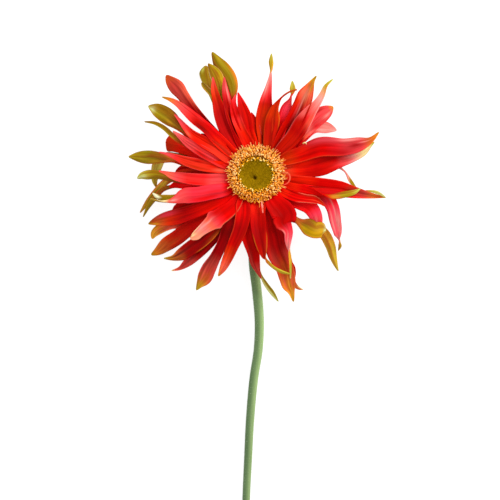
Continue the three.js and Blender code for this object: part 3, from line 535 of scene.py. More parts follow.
ray(0, 28.5, 22, [(7.2, -11, 6), (11, -15.8, 11), (13, -18.4, 12.4), (14.2, -20.8, 12.6), (13.7, -24, 9.6),
    (15.2, -26.2, 6.2), (16.2, -28.6, 4.7), (16.2, -32.5, 3.6, 10), (16.5, -36.3, 2.4, 50),
    (17, -39.6, 1.8, 130), (17.4, -44.5, 1.6, 150), (17.3, -52, 0.6, UNDER)], (8, RED, 16, CRIMSON,
    26, DARK, 37, CRIMSON, 45, CERISE, 54, FLUSH, 66, PALE, 76, AMBER), (60, AMBER, 74, SAFFRON, 84, CITRON,
    94, LIME, 100, PALE_LIME), grooves=0.15, marks=[(55, -10, 8, 12, PALE), (46, -80, 6, 15, PALE),
    (30, -70, 12, 30, RED)])
ray(3, 17, 0.2, [(12, -12, 5), (18, -20, 4, 60), (20.5, -24, 3.6, 90), (25.5, -26.3, 5, 130),
    (33, -28.3, 5.6, UNDER), (37.5, -35.5, 5.2), (39, -41, 3.9), (40.3, -45, 2.3), (41.7, -48.3, 0.6)],
    (0, DARK, 50, BRICK), (0, RUST, 50, AMBER, 62, SAFFRON, 75, HONEY, 90, HONEY, 100, LIME), fold=0.25,
    rim=(ORANGE, -1, 30, 100), marks=[(70, 20, 20, 14, COPPER), (80, -70, 15, 20, MUSTARD),
    (62, -50, 8, 40, SAFFRON)])
ray(1.5, 24, 12, [(5, -14, 6.5), (7, -21.5, 8.5), (9.3, -30, 10.8), (11.1, -38.5, 11.4), (14.1, -45.5, 9.2),
    (15.8, -52, 8), (16.5, -55.3, 6.8), (17.8, -58.7, 3.4), (18.4, -61, 2.1), (18.9, -63.6, 0.8)], (17, RED,
    28, CRIMSON, 36, DARK, 47, DARK, 56, BRICK, 64, FLAME, 75, COPPER, 84, ORANGE, 92, SAFFRON, 100, AMBER),
    fold=0.25, rim=(CORAL, 0, 60, 92), grooves=0.28, marks=[(86, 10, 10, 14, SAFFRON),
    (80, -45, 8, 14, CORAL), (50, -20, 12, 20, WINE), (88, -15, 6, 7, RUST), (80, 60, 8, 20, CORAL),
    (56, -60, 9, 40, DULL), (64, 0, 7, 50, RUST), (55, 60, 8, 30, DUSTY)])
ray(3, 18, 8, [(8, -14, 5), (12, -30, 5), (15, -40, 3), (17.2, -43.5, 1.8), (18.6, -46, 2.2),
    (19, -49, 2.4), (18.9, -52.5, 1.8), (20, -55.6, 2.2), (21.6, -56.8, 1.6), (24, -57.6, 0.4)], (0, DARK,
    70, BRICK, 86, RUST, 97, RUST, 100, CREAM), fold=0.2, marks=[(97, 70, 5, 50, BUTTER),
    (80, -90, 7, 30, BUTTER)])
ray(0.3, 28.5, 24, [(1, -13.5, 6), (1, -19.5, 7.5), (1.3, -25.5, 8), (2.4, -32.5, 6.6), (3.5, -38, 4.6, 20),
    (4.2, -41, 3, 45), (5.8, -43.1, 2.2, 125), (9, -46.3, 1.6, 160), (13, -48.5, 1.7, UNDER),
    (17, -49.6, 0.8)], (10, FIRE, 18, SCARLET, 27, CRIMSON, 37, DARK, 48, DARK, 60, BRICK, 70, FLAME,
    80, ORANGE), (60, COPPER, 70, AMBER, 78, CITRON), fold=0.25, rim=ORANGE, marks=[(55, 80, 12, 20, EMBER),
    (45, 75, 8, 25, RED), (40, -65, 14, 45, WINE)])
ray(1, 26, 17, [(-3, -13.5, 6), (-4.2, -22.5, 7), (-3.5, -31.5, 7), (-1.3, -38.5, 6.2), (-0.2, -44.5, 4.6),
    (1.2, -48.5, 2.3), (2.7, -52, 0.6)], (40, RED, 55, CRIMSON, 75, CRIMSON, 86, DUSTY), fold=0.25,
    marks=[(75, -60, 15, 30, DULL)])
ray(3, 19, 8, [(0, -14, 4), (1, -30, 4), (1, -43, 1.8, 60), (2.2, -49, 1.2, 120), (5.1, -54.8, 2.2, UNDER),
    (8.4, -59.3, 2.4), (11.4, -63.6, 0.6)], (0, RED, 50, BROWN), (50, OLIVE, 80, MUSTARD, 100, LIME),
    fold=0.2, rim=LIME, marks=[(86, 60, 14, 40, PALE_LIME), (85, -35, 14, 25, MOSS)])

# Six to eight o'clock.
ray(0.4, 28.5, 20, [(-6, -13, 6), (-6.3, -19.5, 7.5), (-8, -27.5, 7), (-11.5, -35.5, 6), (-14.3, -42, 5),
    (-16.5, -46.8, 3.4), (-18.8, -50.7, 0.8)], (20, RED, 36, DARK, 46, DARK, 57, CRIMSON, 66, FLAME,
    75, EMBER, 85, CORAL, 93, CORAL, 97, ORANGE, 100, AMBER), rim=(EMBER, -1, 2, 50), grooves=0.15,
    marks=[(60, 75, 20, 25, BRICK), (92, -70, 5, 30, ORANGE), (37, -60, 7, 40, WINE)])
ray(1, 25.5, 12, [(-9, -13, 5.5), (-13, -23.5, 6.5), (-16.8, -34.3, 5.4), (-20.4, -41.4, 5.8),
    (-23.6, -47, 7.4), (-26, -52, 7), (-28.5, -55.5, 3), (-29.9, -57.8, 0.7)], (27, WINE, 36, MAROON,
    46, WINE, 57, WINE, 66, DULL, 76, DUSTY, 85, COPPER, 92, AMBER, 100, MUSTARD), fold=0.25, rim=PINK,
    marks=[(82, -40, 8, 14, CORAL), (80, 30, 8, 14, RUST), (78, 75, 10, 20, DUSTY)])
ray(2, 22.5, 8, [(-10, -13, 5.5), (-16.5, -24, 6.5), (-23.5, -33, 7), (-29.5, -39, 6.5), (-34, -43.5, 4.6),
    (-38.5, -46.9, 1.8), (-42.5, -48, 0.6)], (56, WINE, 67, DARK, 76, DUSTY, 88, DUSTY, 95, CORAL,
    100, BUTTER), fold=0.2, rim=(CORAL, 1, 75, 100), marks=[(70, -50, 12, 20, ROSE)])
ray(1.7, 24, 11, [(-11.5, -13, 5.5), (-18, -23, 6.5), (-25.5, -31.5, 7), (-32.5, -36.5, 7.3),
    (-37.3, -39.8, 6.2), (-41.3, -41.5, 3), (-46.3, -41.8, 0.6)], (44, CRIMSON, 55, WINE, 66, DARK,
    76, DARK, 85, COPPER, 95, AMBER, 100, LIME), fold=0.25, rim=(ORANGE, 1, 28, 60), grooves=0.4,
    marks=[(82, -30, 10, 30, DULL), (93, 50, 5, 40, ORANGE), (84, 40, 6, 40, COPPER),
    (44, 70, 8, 30, RUST)])
ray(0, 30, 30, [(-9.5, -13, 6), (-12.6, -16.8, 7.6), (-16, -19.4, 8.4), (-18.7, -21.4, 8.6),
    (-20.8, -22.9, 10), (-22.3, -24.1, 7.8), (-24.4, -25.7, 6.4), (-27.7, -28.4, 5), (-30.4, -30.7, 4.2),
    (-32.3, -31.4, 2), (-33, -31.3, 0.6)], (38, RED, 48, ROSE, 56, MELON, 65, CORAL, 75, SALMON_RED,
    88, SHRIMP), fold=0.2, rim=(BUTTER, -1, 72, 100), grooves=0.1, marks=[(66, -30, 10, 12, PALE),
    (94, -50, 5, 30, BUTTER), (78, -60, 8, 30, PALE), (46, -65, 10, 40, SCARLET)])
ray(1.5, 21, 0.2, [(-11, -12, 5.5), (-21.5, -20.5, 6.5), (-33, -26.5, 7.4), (-40.2, -31.8, 7.6),
    (-45, -34.8, 7), (-49, -38, 4.4), (-52.8, -40, 1)], (40, SCARLET, 48, CRIMSON, 57, BRICK, 66, BRICK,
    75, FLAME, 84, COPPER, 93, ORANGE, 100, OLIVE), fold=0.25, rim=(BROWN, 0, 80, 100),
    marks=[(78, 20, 12, 30, RUST), (86, -30, 8, 20, COPPER)])
ray(2.3, 20, 6, [(-12.5, -11, 5), (-25.5, -19, 7), (-35.5, -23, 7), (-43, -24.6, 5.4), (-48.4, -27, 5),
    (-51.2, -29.4, 3.6), (-52.2, -32, 1)], (0, DARK, 60, BRICK, 76, CORAL, 85, ORANGE, 93, SAFFRON),
    fold=0.2, rim=(BUTTER, -1, 90, 100), marks=[(84, 50, 10, 20, DULL), (86, -20, 6, 10, CORAL)])
ray(1, 26, 14, [(-12.5, -9, 5.5), (-22, -14.3, 7), (-32, -18.5, 7.3), (-40, -21, 8), (-46.5, -22.4, 6.4),
    (-50.8, -23.4, 3.6), (-54, -24.5, 0.7)], (18, RED, 27, SCARLET, 40, SCARLET, 48, CRIMSON, 57, DARK,
    66, BRICK, 76, FLAME, 85, RUST, 94, RUST, 100, OLIVE), fold=0.25, rim=(RUST, 1, 70, 100),
    marks=[(76, -65, 10, 30, HOT_PINK), (92, 60, 5, 30, AMBER), (54, 65, 14, 35, DARK)])
ray(2.5, 22, 16, [(-13.5, -7.5, 5), (-25.5, -12.5, 7), (-34, -16, 7), (-39, -17.5, 6.5), (-42, -18.2, 3)],
    (0, RED, 60, SCARLET), fold=0.2)

# Eight to ten o'clock.
ray(0, 29, 24, [(-14, -7, 6), (-21.5, -8.5, 7.5), (-29.5, -10, 7.7), (-35.5, -10.6, 7.6),
    (-40, -12.6, 4.2, 20), (-45, -13.5, 1.8, 60), (-49.5, -13, 1.2, 100), (-53, -12, 0.6, 120)], (9, RED,
    16, CERISE, 48, CERISE, 60, PINK, 69, PINK, 76, EMBER, 82, BUTTER, 100, LIME), grooves=0.25,
    marks=[(30, 60, 20, 25, RED), (20, 0, 15, 20, ROSE), (36, 70, 10, 30, VIVID), (72, 0, 5, 40, PALE)])
ray(0.8, 26.5, 22, [(-14.5, -6.5, 4, UNDER), (-25.5, -9, 4), (-35, -10, 4), (-41, -10.8, 2),
    (-45, -11.3, 2.8), (-49, -11, 2.6), (-51.8, -9, 0.6)], under=(0, DARK, 55, BRICK, 66, BRICK, 70, OLIVE,
    86, MOSS, 91, FROST))
ray(2, 23.5, 17, [(-15, -4, 5), (-25.5, -4.5, 6), (-34, -4.8, 5), (-40, -4.8, 3.5), (-43.5, -6, 1)],
    (0, RED, 60, VIVID, 78, VIVID, 86, RED), fold=0.2)
ray(0.4, 28, 26, [(-14, -2, 5.5), (-23, -2.5, 6), (-31.5, -2.2, 5.8), (-37.5, -1.3, 5), (-42, -0.3, 3.6),
    (-45.2, 1, 1.8), (-48.6, 2, 0.6)], (0, RED, 7, ROSE, 13, PINK, 26, PINK, 38, POPPY, 60, POPPY, 75, PINK,
    86, CORAL, 100, PINK), fold=0.25, rim=PINK, grooves=0.25, marks=[(50, 65, 14, 30, RED),
    (40, -50, 20, 30, ROSE)])
ray(1.4, 24.5, 16, [(-14.5, -2, 4, UNDER), (-33, -2.5, 4), (-40.5, -1.8, 4), (-45.5, -0.8, 3.8),
    (-50.5, 0.2, 4.3), (-54.3, 0.1, 4.8), (-57.2, -0.4, 3.6), (-59.6, -1.7, 1)], under=(0, MAROON, 50, WINE,
    62, BROWN, 78, MOSS, 86, MUSTARD, 93, LIME, 100, PALE_LIME), rim=(ORANGE, 1, 40, 80),
    marks=[(93, -30, 4, 40, PALE_LIME), (80, 30, 6, 20, OLIVE)])
ray(2.6, 20, 0.2, [(-15, 1, 4, UNDER), (-28, 1.5, 4), (-38, 0, 5), (-44, -2.5, 3.6), (-47.5, -5.3, 3.5),
    (-51, -9, 3), (-54.5, -13.5, 2.8), (-58.5, -18.8, 0.7)], under=(45, CRIMSON, 53, COPPER, 58, HONEY,
    70, AMBER, 80, OLIVE, 90, AMBER), rim=(RUST, 1, 50, 100), marks=[(75, 80, 30, 20, RUST),
    (72, 0, 10, 20, PINE)])
ray(3, 19, 2, [(-15, -3, 4, UNDER), (-28, -4, 4), (-36.5, -4.8, 3.5), (-42.5, -5.8, 2), (-47, -7.3, 2.6),
    (-50.5, -11, 2.8), (-54, -15.5, 2.2), (-56.9, -21, 0.6)], under=(0, MAROON, 50, BROWN, 65, RUST,
    80, OLIVE, 100, MUSTARD), rim=(AMBER, 1, 60, 100), marks=[(75, 0, 20, 20, PINE)])
ray(2, 23.5, 18, [(-15, 1, 5), (-25.5, 2.3, 6), (-33, 2.8, 5), (-37.5, 2.5, 4), (-40.3, 1.3, 1.2)],
    (0, DARK, 50, CRIMSON), fold=0.2)
ray(0.5, 28, 25, [(-14, 3.5, 5.5), (-22, 4, 6), (-29.5, 5.3, 5.8), (-35.5, 7, 4.6), (-40, 8.8, 3),
    (-44.4, 10.4, 1.5), (-48.5, 11.4, 0.6)], (0, RED, 16, FIRE, 25, FIRE, 36, TOMATO, 66, TOMATO, 76, POPPY,
    86, PINK), fold=0.25, rim=PINK, grooves=0.18, marks=[(16, 50, 10, 30, CORAL), (48, 65, 14, 30, FLAME),
    (46, -60, 8, 30, SCARLET)])
ray(1.6, 24, 13, [(-14, 4, 4, UNDER), (-28, 5.5, 4), (-36, 6.3, 4), (-41.5, 7.4, 2.6), (-46, 8.3, 4.6),
    (-50.5, 8.8, 6.2), (-55, 9, 6.8), (-59.5, 9.2, 5.2), (-64, 9.3, 0.9)], under=(0, MAROON, 50, BRICK,
    57, COPPER, 64, BROWN, 74, PINE, 85, MOSS, 91, OLIVE, 100, MUSTARD), rim=(ORANGE, -1, 35, 100),
    marks=[(74, -60, 8, 30, AMBER), (86, -40, 6, 20, MUSTARD), (66, 30, 8, 50, BROWN),
    (76, 30, 6, 40, BROWN)])
ray(3, 16, 6, [(-15, 5, 4, UNDER), (-28, 8, 4), (-39, 9.2, 3.6), (-45.5, 9.4, 4.2), (-48.4, 7.4, 5.2),
    (-49.7, 4.6, 5.4), (-50.4, 1.5, 4.6), (-50.9, -3, 2.8), (-50.1, -6.2, 0.7)], under=(0, MAROON,
    50, BROWN, 66, LIME, 84, LIME, 100, MUSTARD), fold=0.2, rim=(RUST, 1, 50, 90),
    marks=[(70, 60, 10, 20, COPPER), (78, -80, 8, 30, LEMON)])

# Ten to eleven o'clock.
ray(3, 20, 10, [(-15, 6, 5), (-26.5, 10.7, 8), (-34.5, 14.1, 8.4), (-40, 16, 9.2), (-43.9, 17, 9.4),
    (-45.3, 17.3, 5.8)], (0, RED, 50, VIVID, 60, FIRE, 76, FIRE, 88, FLAME), fold=0.15,
    rim=(RUST, 0, 70, 100))
ray(0.3, 28.5, 26, [(-14, 5, 5), (-22, 9, 6), (-29.5, 13.3, 5.4), (-34.5, 16.5, 4.2), (-38.2, 19.4, 2.4),
    (-41.6, 22, 0.6)], (0, FIRE, 20, POPPY, 52, POPPY, 64, PINK, 80, PINK, 100, SALMON_RED), rim=PINK,
    marks=[(55, -20, 15, 14, PINK), (40, -60, 30, 25, SCARLET), (45, 65, 14, 35, SCARLET),
    (35, 10, 10, 30, MELON)])
ray(1.6, 24.5, 17, [(-14, 6, 3, UNDER), (-25.5, 10.5, 2.6), (-33, 14.2, 2.4), (-38.3, 17, 2.6),
    (-42, 20, 2.5), (-46, 23.6, 2.3), (-50.5, 26, 1.8), (-56, 26.8, 0.6)], under=(0, DARK, 54, BRICK,
    58, RUST, 62, AMBER, 70, OLIVE), rim=(MUSTARD, 0, 55, 100), marks=[(72, 0, 15, 30, OLIVE),
    (64, 50, 6, 30, COPPER)])
ray(0, 29.5, 27, [(-12.5, 7.5, 5), (-20, 13, 6), (-27, 17, 5.6), (-32, 20.3, 4.4), (-35.5, 24, 3),
    (-38.3, 27.5, 1.7), (-40.8, 30.3, 0.6)], (0, RED, 10, TOMATO, 32, TOMATO, 45, FIRE, 66, FIRE, 76, POPPY,
    85, MELON, 100, PINK), rim=ROSE, marks=[(56, 60, 7, 30, SCARLET), (70, 60, 5, 30, CORAL)])
ray(1.2, 25.5, 19, [(-13.5, 8, 4, UNDER), (-25.5, 14, 4), (-31.5, 17.7, 4), (-35.5, 21.3, 3),
    (-39, 24.9, 5), (-43, 28.4, 7.8), (-47, 31.2, 8), (-50.8, 33.3, 5.8), (-54, 34.6, 1)], under=(0, DARK,
    50, BRICK, 60, BROWN, 68, BROWN, 76, MOSS, 86, OLIVE, 94, MUSTARD, 100, LIME),
    rim=(ORANGE, -1, 40, 100), marks=[(95, -20, 3, 50, PALE_LIME), (72, -40, 6, 30, AMBER),
    (77, 50, 6, 30, AMBER)])
ray(2, 24, 22, [(-13, 8.5, 5), (-20.5, 15.2, 5), (-25.5, 19, 3.2), (-27.4, 20.7, 0.8)], (0, RED,
    100, BRICK), fold=0.2)
ray(0.1, 29.5, 28, [(-11, 10, 5), (-18.5, 17, 6.5), (-24.7, 23.3, 5.6), (-30.5, 28, 5.6), (-35, 32, 4.6),
    (-39, 35.4, 3.2), (-42.5, 37.4, 2.1), (-47, 38.9, 0.6)], (26, FIRE, 36, RED, 46, SCARLET, 57, SCARLET,
    66, POPPY, 76, PINK, 85, CORAL, 92, ORANGE, 100, OLIVE), fold=0.35, rim=ROSE, grooves=0.15,
    marks=[(38, -60, 20, 35, VIVID), (48, 55, 10, 40, MAROON), (56, -60, 6, 30, POPPY)])
ray(1, 26.5, 21, [(-10, 11.5, 5), (-19.3, 18.8, 5.5), (-27, 27.2, 5.4), (-32.7, 34.4, 5.4),
    (-36.4, 39.6, 6.2), (-39.8, 44, 7.6), (-42.8, 47.2, 5.2), (-44.9, 50, 1.2)], (0, DARK, 50, WINE,
    64, WINE, 76, DULL, 88, DULL, 95, RUST), rim=(RUST, 1, 50, 100), grooves=0.15,
    marks=[(76, -85, 16, 20, CORAL), (70, 60, 10, 14, DUSTY), (88, 10, 8, 40, DUSTY),
    (75, 55, 10, 30, DULL), (76, -60, 12, 30, CORAL)])

# Eleven to twelve o'clock.
ray(0.5, 28.5, 24, [(-8.5, 12, 5.5), (-14.2, 21, 7), (-17.5, 30, 7), (-19.5, 37, 4.8), (-20.9, 43, 3.2),
    (-21.5, 49, 0.6)], (0, SCARLET, 22, CRIMSON, 30, DARK, 57, DARK, 66, BRICK, 75, FLAME, 85, EMBER,
    100, PINK), rim=FLAME, marks=[(60, -65, 30, 35, DARK), (66, 60, 10, 35, BRICK)])
ray(2, 19, 0.2, [(-9, 12, 4, UNDER), (-15.5, 25, 4), (-19.5, 34.5, 3.5), (-22, 40, 2.8), (-23.8, 45, 4),
    (-24.8, 49.2, 6), (-25.3, 52.6, 6.6), (-25.2, 55.6, 4.8)], under=(0, MAROON, 50, WINE, 62, MOSS,
    75, MUSTARD, 85, OLIVE, 94, MOSS, 100, OLIVE), rim=(LIME, -1, 50, 100), marks=[(95, -50, 3, 25, LIME)])
ray(2.7, 21, 11, [(-9.5, 11.5, 3.5, UNDER), (-16, 24, 3.5), (-20, 34, 3), (-22, 40, 2.2), (-24, 42.7, 2.7),
    (-25.9, 44.8, 2.5), (-27.3, 46.6, 1.4)], under=(0, MAROON, 50, WINE, 64, OLIVE, 86, HONEY,
    100, MUSTARD), rim=(CREAM, 1, 60, 100), marks=[(85, -20, 10, 30, PINE)])
ray(0.4, 28.5, 25, [(-6, 13.5, 5), (-10, 22.5, 5), (-13, 31.5, 5), (-14.5, 38, 4.2), (-15.5, 43.5, 2.9),
    (-15.9, 49, 0.6)], (0, RED, 45, DARK, 67, SCARLET, 76, ROSE, 85, PINK), rim=ROSE,
    marks=[(45, -30, 20, 30, DARK), (80, -50, 10, 20, PALE), (64, 60, 8, 40, DARK)])
ray(1.2, 27, 18, [(-6.5, 13.5, 4, UNDER), (-12, 22.5, 4), (-15.5, 31.5, 3), (-17.2, 37.5, 2.8),
    (-17.8, 42, 4), (-18.4, 46, 5.6), (-19.4, 49.2, 6.6), (-20.9, 51.8, 6), (-22.4, 54, 3.6),
    (-24, 56, 0.8)], under=(0, DARK, 45, BRICK, 55, AMBER, 72, AMBER, 78, OCHRE, 86, OLIVE, 94, OLIVE,
    100, BROWN), rim=(CREAM, 0, 50, 97), marks=[(86, 20, 8, 20, BROWN), (72, 50, 10, 20, GOLDEN),
    (86, -50, 6, 20, MUSTARD)])
ray(0.2, 29, 27, [(-3.5, 14, 5), (-7.5, 22.5, 5.2), (-10.3, 30.5, 4.8), (-11.2, 35.5, 3), (-10, 40.2, 0.6)],
    (0, RED, 33, FIRE, 44, TOMATO, 55, POPPY, 66, SCARLET, 85, ROSE, 100, PINK),
    marks=[(30, 65, 14, 45, BRICK)])
ray(1, 25.5, 16, [(-4, 14, 4, UNDER), (-7, 23.5, 4), (-10, 31.5, 3), (-11.3, 36.5, 2.2), (-11.5, 40.5, 4),
    (-11.9, 44.5, 6), (-13.1, 48.5, 6.8), (-15.8, 52.6, 7.2), (-19, 56.7, 5.8), (-22, 61.8, 1.2)],
    under=(0, DARK, 48, BRICK, 56, MOSS, 94, MOSS, 100, OLIVE), rim=(ORANGE, 1, 45, 80),
    marks=[(68, 80, 12, 25, ORANGE), (92, 50, 5, 20, MUSTARD), (90, -30, 8, 14, PINE)])
ray(0.8, 27.5, 25, [(-1.5, 14, 5), (-4, 22, 6), (-5.6, 29.8, 6.4), (-7.2, 35.5, 4), (-9, 41.3, 0.6)],
    (26, FIRE, 36, RED, 46, SCARLET, 78, SCARLET, 90, ROSE), rim=FIRE, marks=[(50, 30, 30, 15, DARK)])
ray(1, 27, 26.5, [(0.8, 14.5, 5), (0.3, 21.5, 4.5), (-0.8, 27, 3.4), (-2.3, 31.3, 0.6)], (0, FLAME,
    60, BRICK, 100, RED), fold=0.25, rim=PINK, marks=[(50, -80, 40, 20, WINE)])

# Behind the crowd near the ring, short red petals fill the gaps: their keys are (radius, width).
for k in range(15):
    turn = math.radians(10 + 24 * k)
    ray(2.4, 25.8, 25, [(r * math.cos(turn), r * math.sin(turn), width) for r, width in
                        ((15, 5), (20, 6.4), (24.5, 4))], (0, RED), (0, RED), fold=0.2)

# How finely each petal is divided, how it sits in the ring, and how strong each part of its looks is.
PETAL_ROWS = 56
PETAL_COLUMNS = 20
PETAL_THICKNESS = 0.42
ROOT_RADIUS = 12.2
ROOT_WIDTH = 3.6
ROOT_HEIGHT = 27.4
LAYER_STEP = 0.45
RIB_DEPTH = 0.35
UNDER_POINT = 0.07
LEAST_HEIGHT = 0.25
LEAST_WIDTH = 0.35
MARK_STRENGTH = 0.85
# How much lighter the painted highlights along the petals' ridges are.
CREST_HIGHLIGHT = 1.7
MARGIN_START = 0.84
MARGIN_STRENGTH = 0.85
# How strong the faint rim along every margin is: a painted highlight along the edge.
FAINT_RIM_HIGHLIGHT = 0.2
RUN_STEPS = 200


def hundredths(values):
    """Values that are written in hundredths, as shares of 1."""
    return [value / 100 for value in values]


def colour_run(stops):
    """A function that gives the colour at s, from 0 to 1, on a run of places in hundredths and colours."""
    places = hundredths(stops[::2])
    colours = np.array([linear(colour)[:3] for colour in stops[1::2]])
    run = [[np.interp(k / RUN_STEPS, places, colours[:, part]) for part in range(3)]
           for k in range(RUN_STEPS + 1)]
    return lambda s: run[min(max(round(s * RUN_STEPS), 0), RUN_STEPS)]


def petal(bm, number, layer, mid, tip, keys, top, under, fold=0.3, rim=None, grooves=0.22, marks=()):
    """Adds one petal from its row in the list."""
    luck = random.Random(100 + number)
    reach = ROOT_RADIUS / math.hypot(*keys[0][:2])
    keys = [(keys[0][0] * reach, keys[0][1] * reach, ROOT_WIDTH, *keys[0][3:]), *keys]
    roll = 0
    for i, key in enumerate(keys):
        roll = key[3] if len(key) == 4 else roll
        keys[i] = (*key[:3], roll)
    places = [1 - (1 - i / PETAL_ROWS) ** 1.4 for i in range(PETAL_ROWS + 1)]
    run = through(keys, places, 2)
    length = math.dist(keys[0][:2], keys[-1][:2])
    root = ROOT_HEIGHT - LAYER_STEP * layer
    wave, phase = luck.uniform(0.3, 0.8), luck.uniform(0, 6)
    spine, widths = [], []
    for (x, y, width, _), s in zip(run, places):
        arch = root * (1 - s) * (1 - 2 * s) + 4 * mid * s * (1 - s) + tip * s * (2 * s - 1)
        arch += wave * math.sin(7 * s + phase) * s * (1 - s) * 2
        spine.append((x, y, max(arch, LEAST_HEIGHT)))
        close = min((1 - s) * length / max(0.7 * keys[-1][2], 0.8), 1)
        widths.append(max(width, LEAST_WIDTH) * math.sqrt(1 - (1 - close) ** 2))
    ripple = [luck.uniform(0.25, 0.7) for _ in range(2)]
    pace = [luck.uniform(5, 11) for _ in range(2)]
    start = [luck.uniform(0, 6) for _ in range(2)]
    valleys = [(luck.uniform(-0.65, 0.65), luck.uniform(0.1, 0.26)) for _ in range(luck.randint(1, 3))]
    highlight_crests = [(luck.uniform(-0.8, 0.8), luck.uniform(0.06, 0.16)) for _ in range(4)]
    # Painted shade: one half of the petal is darker than the other, by a random lean.
    painted_side_shade = luck.uniform(-0.22, 0.22)

    def furrows(a, rows):
        """How deep a is in these rows of (middle, breadth)."""
        return sum(math.exp(-(((a - middle) / breadth) ** 2)) for middle, breadth in rows)

    @functools.cache
    def width_at(s):
        return np.interp(s, places, widths)

    def lift(a, s):
        half = width_at(s) / 2
        edge = int(a > 0)
        channel = fold * half * abs(a) ** 1.4
        rib = -RIB_DEPTH * (0.6 + grooves) * furrows(a, valleys) * ramp(0, 3, half)
        wavy = ripple[edge] * math.sin(pace[edge] * s + start[edge]) * abs(a) ** 3 * ramp(0.5, 4, half)
        return channel + rib * (1 - s**4) + wavy

    top_run, under_run = colour_run(top), colour_run(under)
    under_highlight, under_dark = linear(CITRON)[:3], linear(RUST)[:3]
    rim_colour, rim_side, *rim_span = rim if isinstance(rim, tuple) else (rim or ROSE, 0, 35, 120)
    rim_colour = linear(rim_colour)[:3]
    rim_start, rim_end = hundredths(rim_span)
    marks = [(*hundredths(mark[:4]), linear(mark[4])[:3]) for mark in marks]

    def tint(a, s, upper):
        colour = top_run(s) if upper else under_run(s - UNDER_POINT * abs(a) ** 1.5)
        # Painted highlights along the ridges: a lighter red on top, a pale citron underneath.
        light = min(furrows(a, highlight_crests), 1) * (0.12 + 0.4 * grooves) * ramp(0.15, 0.8, s)
        colour = blend(colour, [CREST_HIGHLIGHT * c + 0.003 for c in colour] if upper else under_highlight, light)
        for along, across, reach, breadth, mark in marks:
            share = math.exp(-(((s - along) / reach) ** 2) - ((a - across) / breadth) ** 2)
            colour = blend(colour, mark, MARK_STRENGTH * share)
        # Painted shade in the furrows: darker there, and underneath browner too, and darker over one half of
        # the petal.
        deep = min(furrows(a, valleys), 1.2)
        if not upper:
            colour = blend(colour, under_dark, 0.3 * deep * ramp(0.5, 0.7, s))
        shade = (1 - grooves * deep) * (1 + painted_side_shade * a)
        # The margins: a faint rim everywhere, a painted highlight along the edge; where it has a rim of its
        # own, its own edge colour that is partly painted highlight.
        margin = FAINT_RIM_HIGHLIGHT
        if rim and a * rim_side >= 0:
            margin = MARGIN_STRENGTH * ramp(rim_start, rim_start + 0.12, s)
            margin *= 1 - ramp(rim_end, rim_end + 0.08, s)
        margin *= ramp(MARGIN_START, 1, abs(a))
        return (*blend([c * shade for c in colour], rim_colour, margin), 1)

    strap(bm, spine, widths, [key[3] for key in run], PETAL_COLUMNS, PETAL_THICKNESS, lift, tint, number)


# Petal: thin satin tissue that the light partly passes through, with fine veins along it.
petal_satin = finish("petal_satin", {"Roughness": 0.5, "IOR": 1.4, "Specular IOR Level": 0.04})
grained(petal_satin, 0.9, 0.05, 0.25, (0.66, 0.58, 0.52))

for group, low, high in (("front", 0, 0.7), ("middle", 0.7, 1.8), ("back", 1.8, 4)):
    bm = painted()
    for number, row in enumerate(PETALS):
        if low <= row["layer"] < high:
            petal(bm, number, **row)
    piece("ray_petals_" + group, bm, petal_satin, "petal_red", "ray_petals")

# The ring that the petals grow from: their crowded tubes, red and close together.
RING_FOOT = 25.3
RING_INNER = 11.9
RING_OUTER = 13.3
RING_TOP = 28
RING_BEVEL = 0.4

bm = painted()
lathe(bm, [(RING_INNER, RING_FOOT), (RING_OUTER, RING_FOOT), (RING_OUTER, RING_TOP - RING_BEVEL),
           (12.6, RING_TOP), (RING_INNER, RING_TOP - RING_BEVEL)], 90, RED, closed=True)
piece("ray_ring", bm, petal_satin, "petal_red")

# ---- Trans florets ------------------------------------------------------------------------------
# The frill between the petals and the eye: short narrow florets, peach above and pinkish at their tips,
# that stand up from a ring and curl outwards in a tangle.

TRANS_RING = (10.1, 11.9, 30.45)
PEACH = 0xFCAC40
APRICOT = 0xF4982A
TANGERINE = 0xE49420
SHELL = 0xFFD480
GLOW = 0xFFE8A8
SALMON = 0xFF9C64
TRANS_HEIGHT = 31.2
TRANS_INNER = 9.2
TRANS_OUTER = 13.3
TRANS_ROWS = 9
TRANS_SPACING = 0.82
TRANS_STEPS = 9
TRANS_WIDTH = 0.78
TRANS_THICKNESS = 0.5
FRAY_COUNT = 110
FRAY_START = 13.2


def floret_ring(bm, inner, outer, top, colour):
    """Adds the plain ring that a circle of florets stands on."""
    profile = [(inner, RING_FOOT), (outer, RING_FOOT), (outer, top), (inner, top)]
    lathe(bm, profile, 72, colour, closed=True)


def floret(bm, angle, keys, width, sway, roll, shades, number, thickness=TRANS_THICKNESS):
    """Adds one floret along keys of (radius, height) at an angle round the head, swaying to one side."""
    places = [1 - (1 - i / TRANS_STEPS) ** 1.8 for i in range(TRANS_STEPS + 1)]
    spine = [around(angle + sway * s * s, r, z) for (r, z), s in zip(through(keys, places, 2), places)]
    widths = [width * (0.6 + 0.4 * s) * math.sqrt(1 - s**8) + 0.03 for s in places]
    run = colour_run(shades)
    strap(bm, spine, widths, [roll * s for s in places], 2, thickness,
          lambda a, s: 0.12 * a * a, lambda a, s, upper: (*run(s), 1), number)


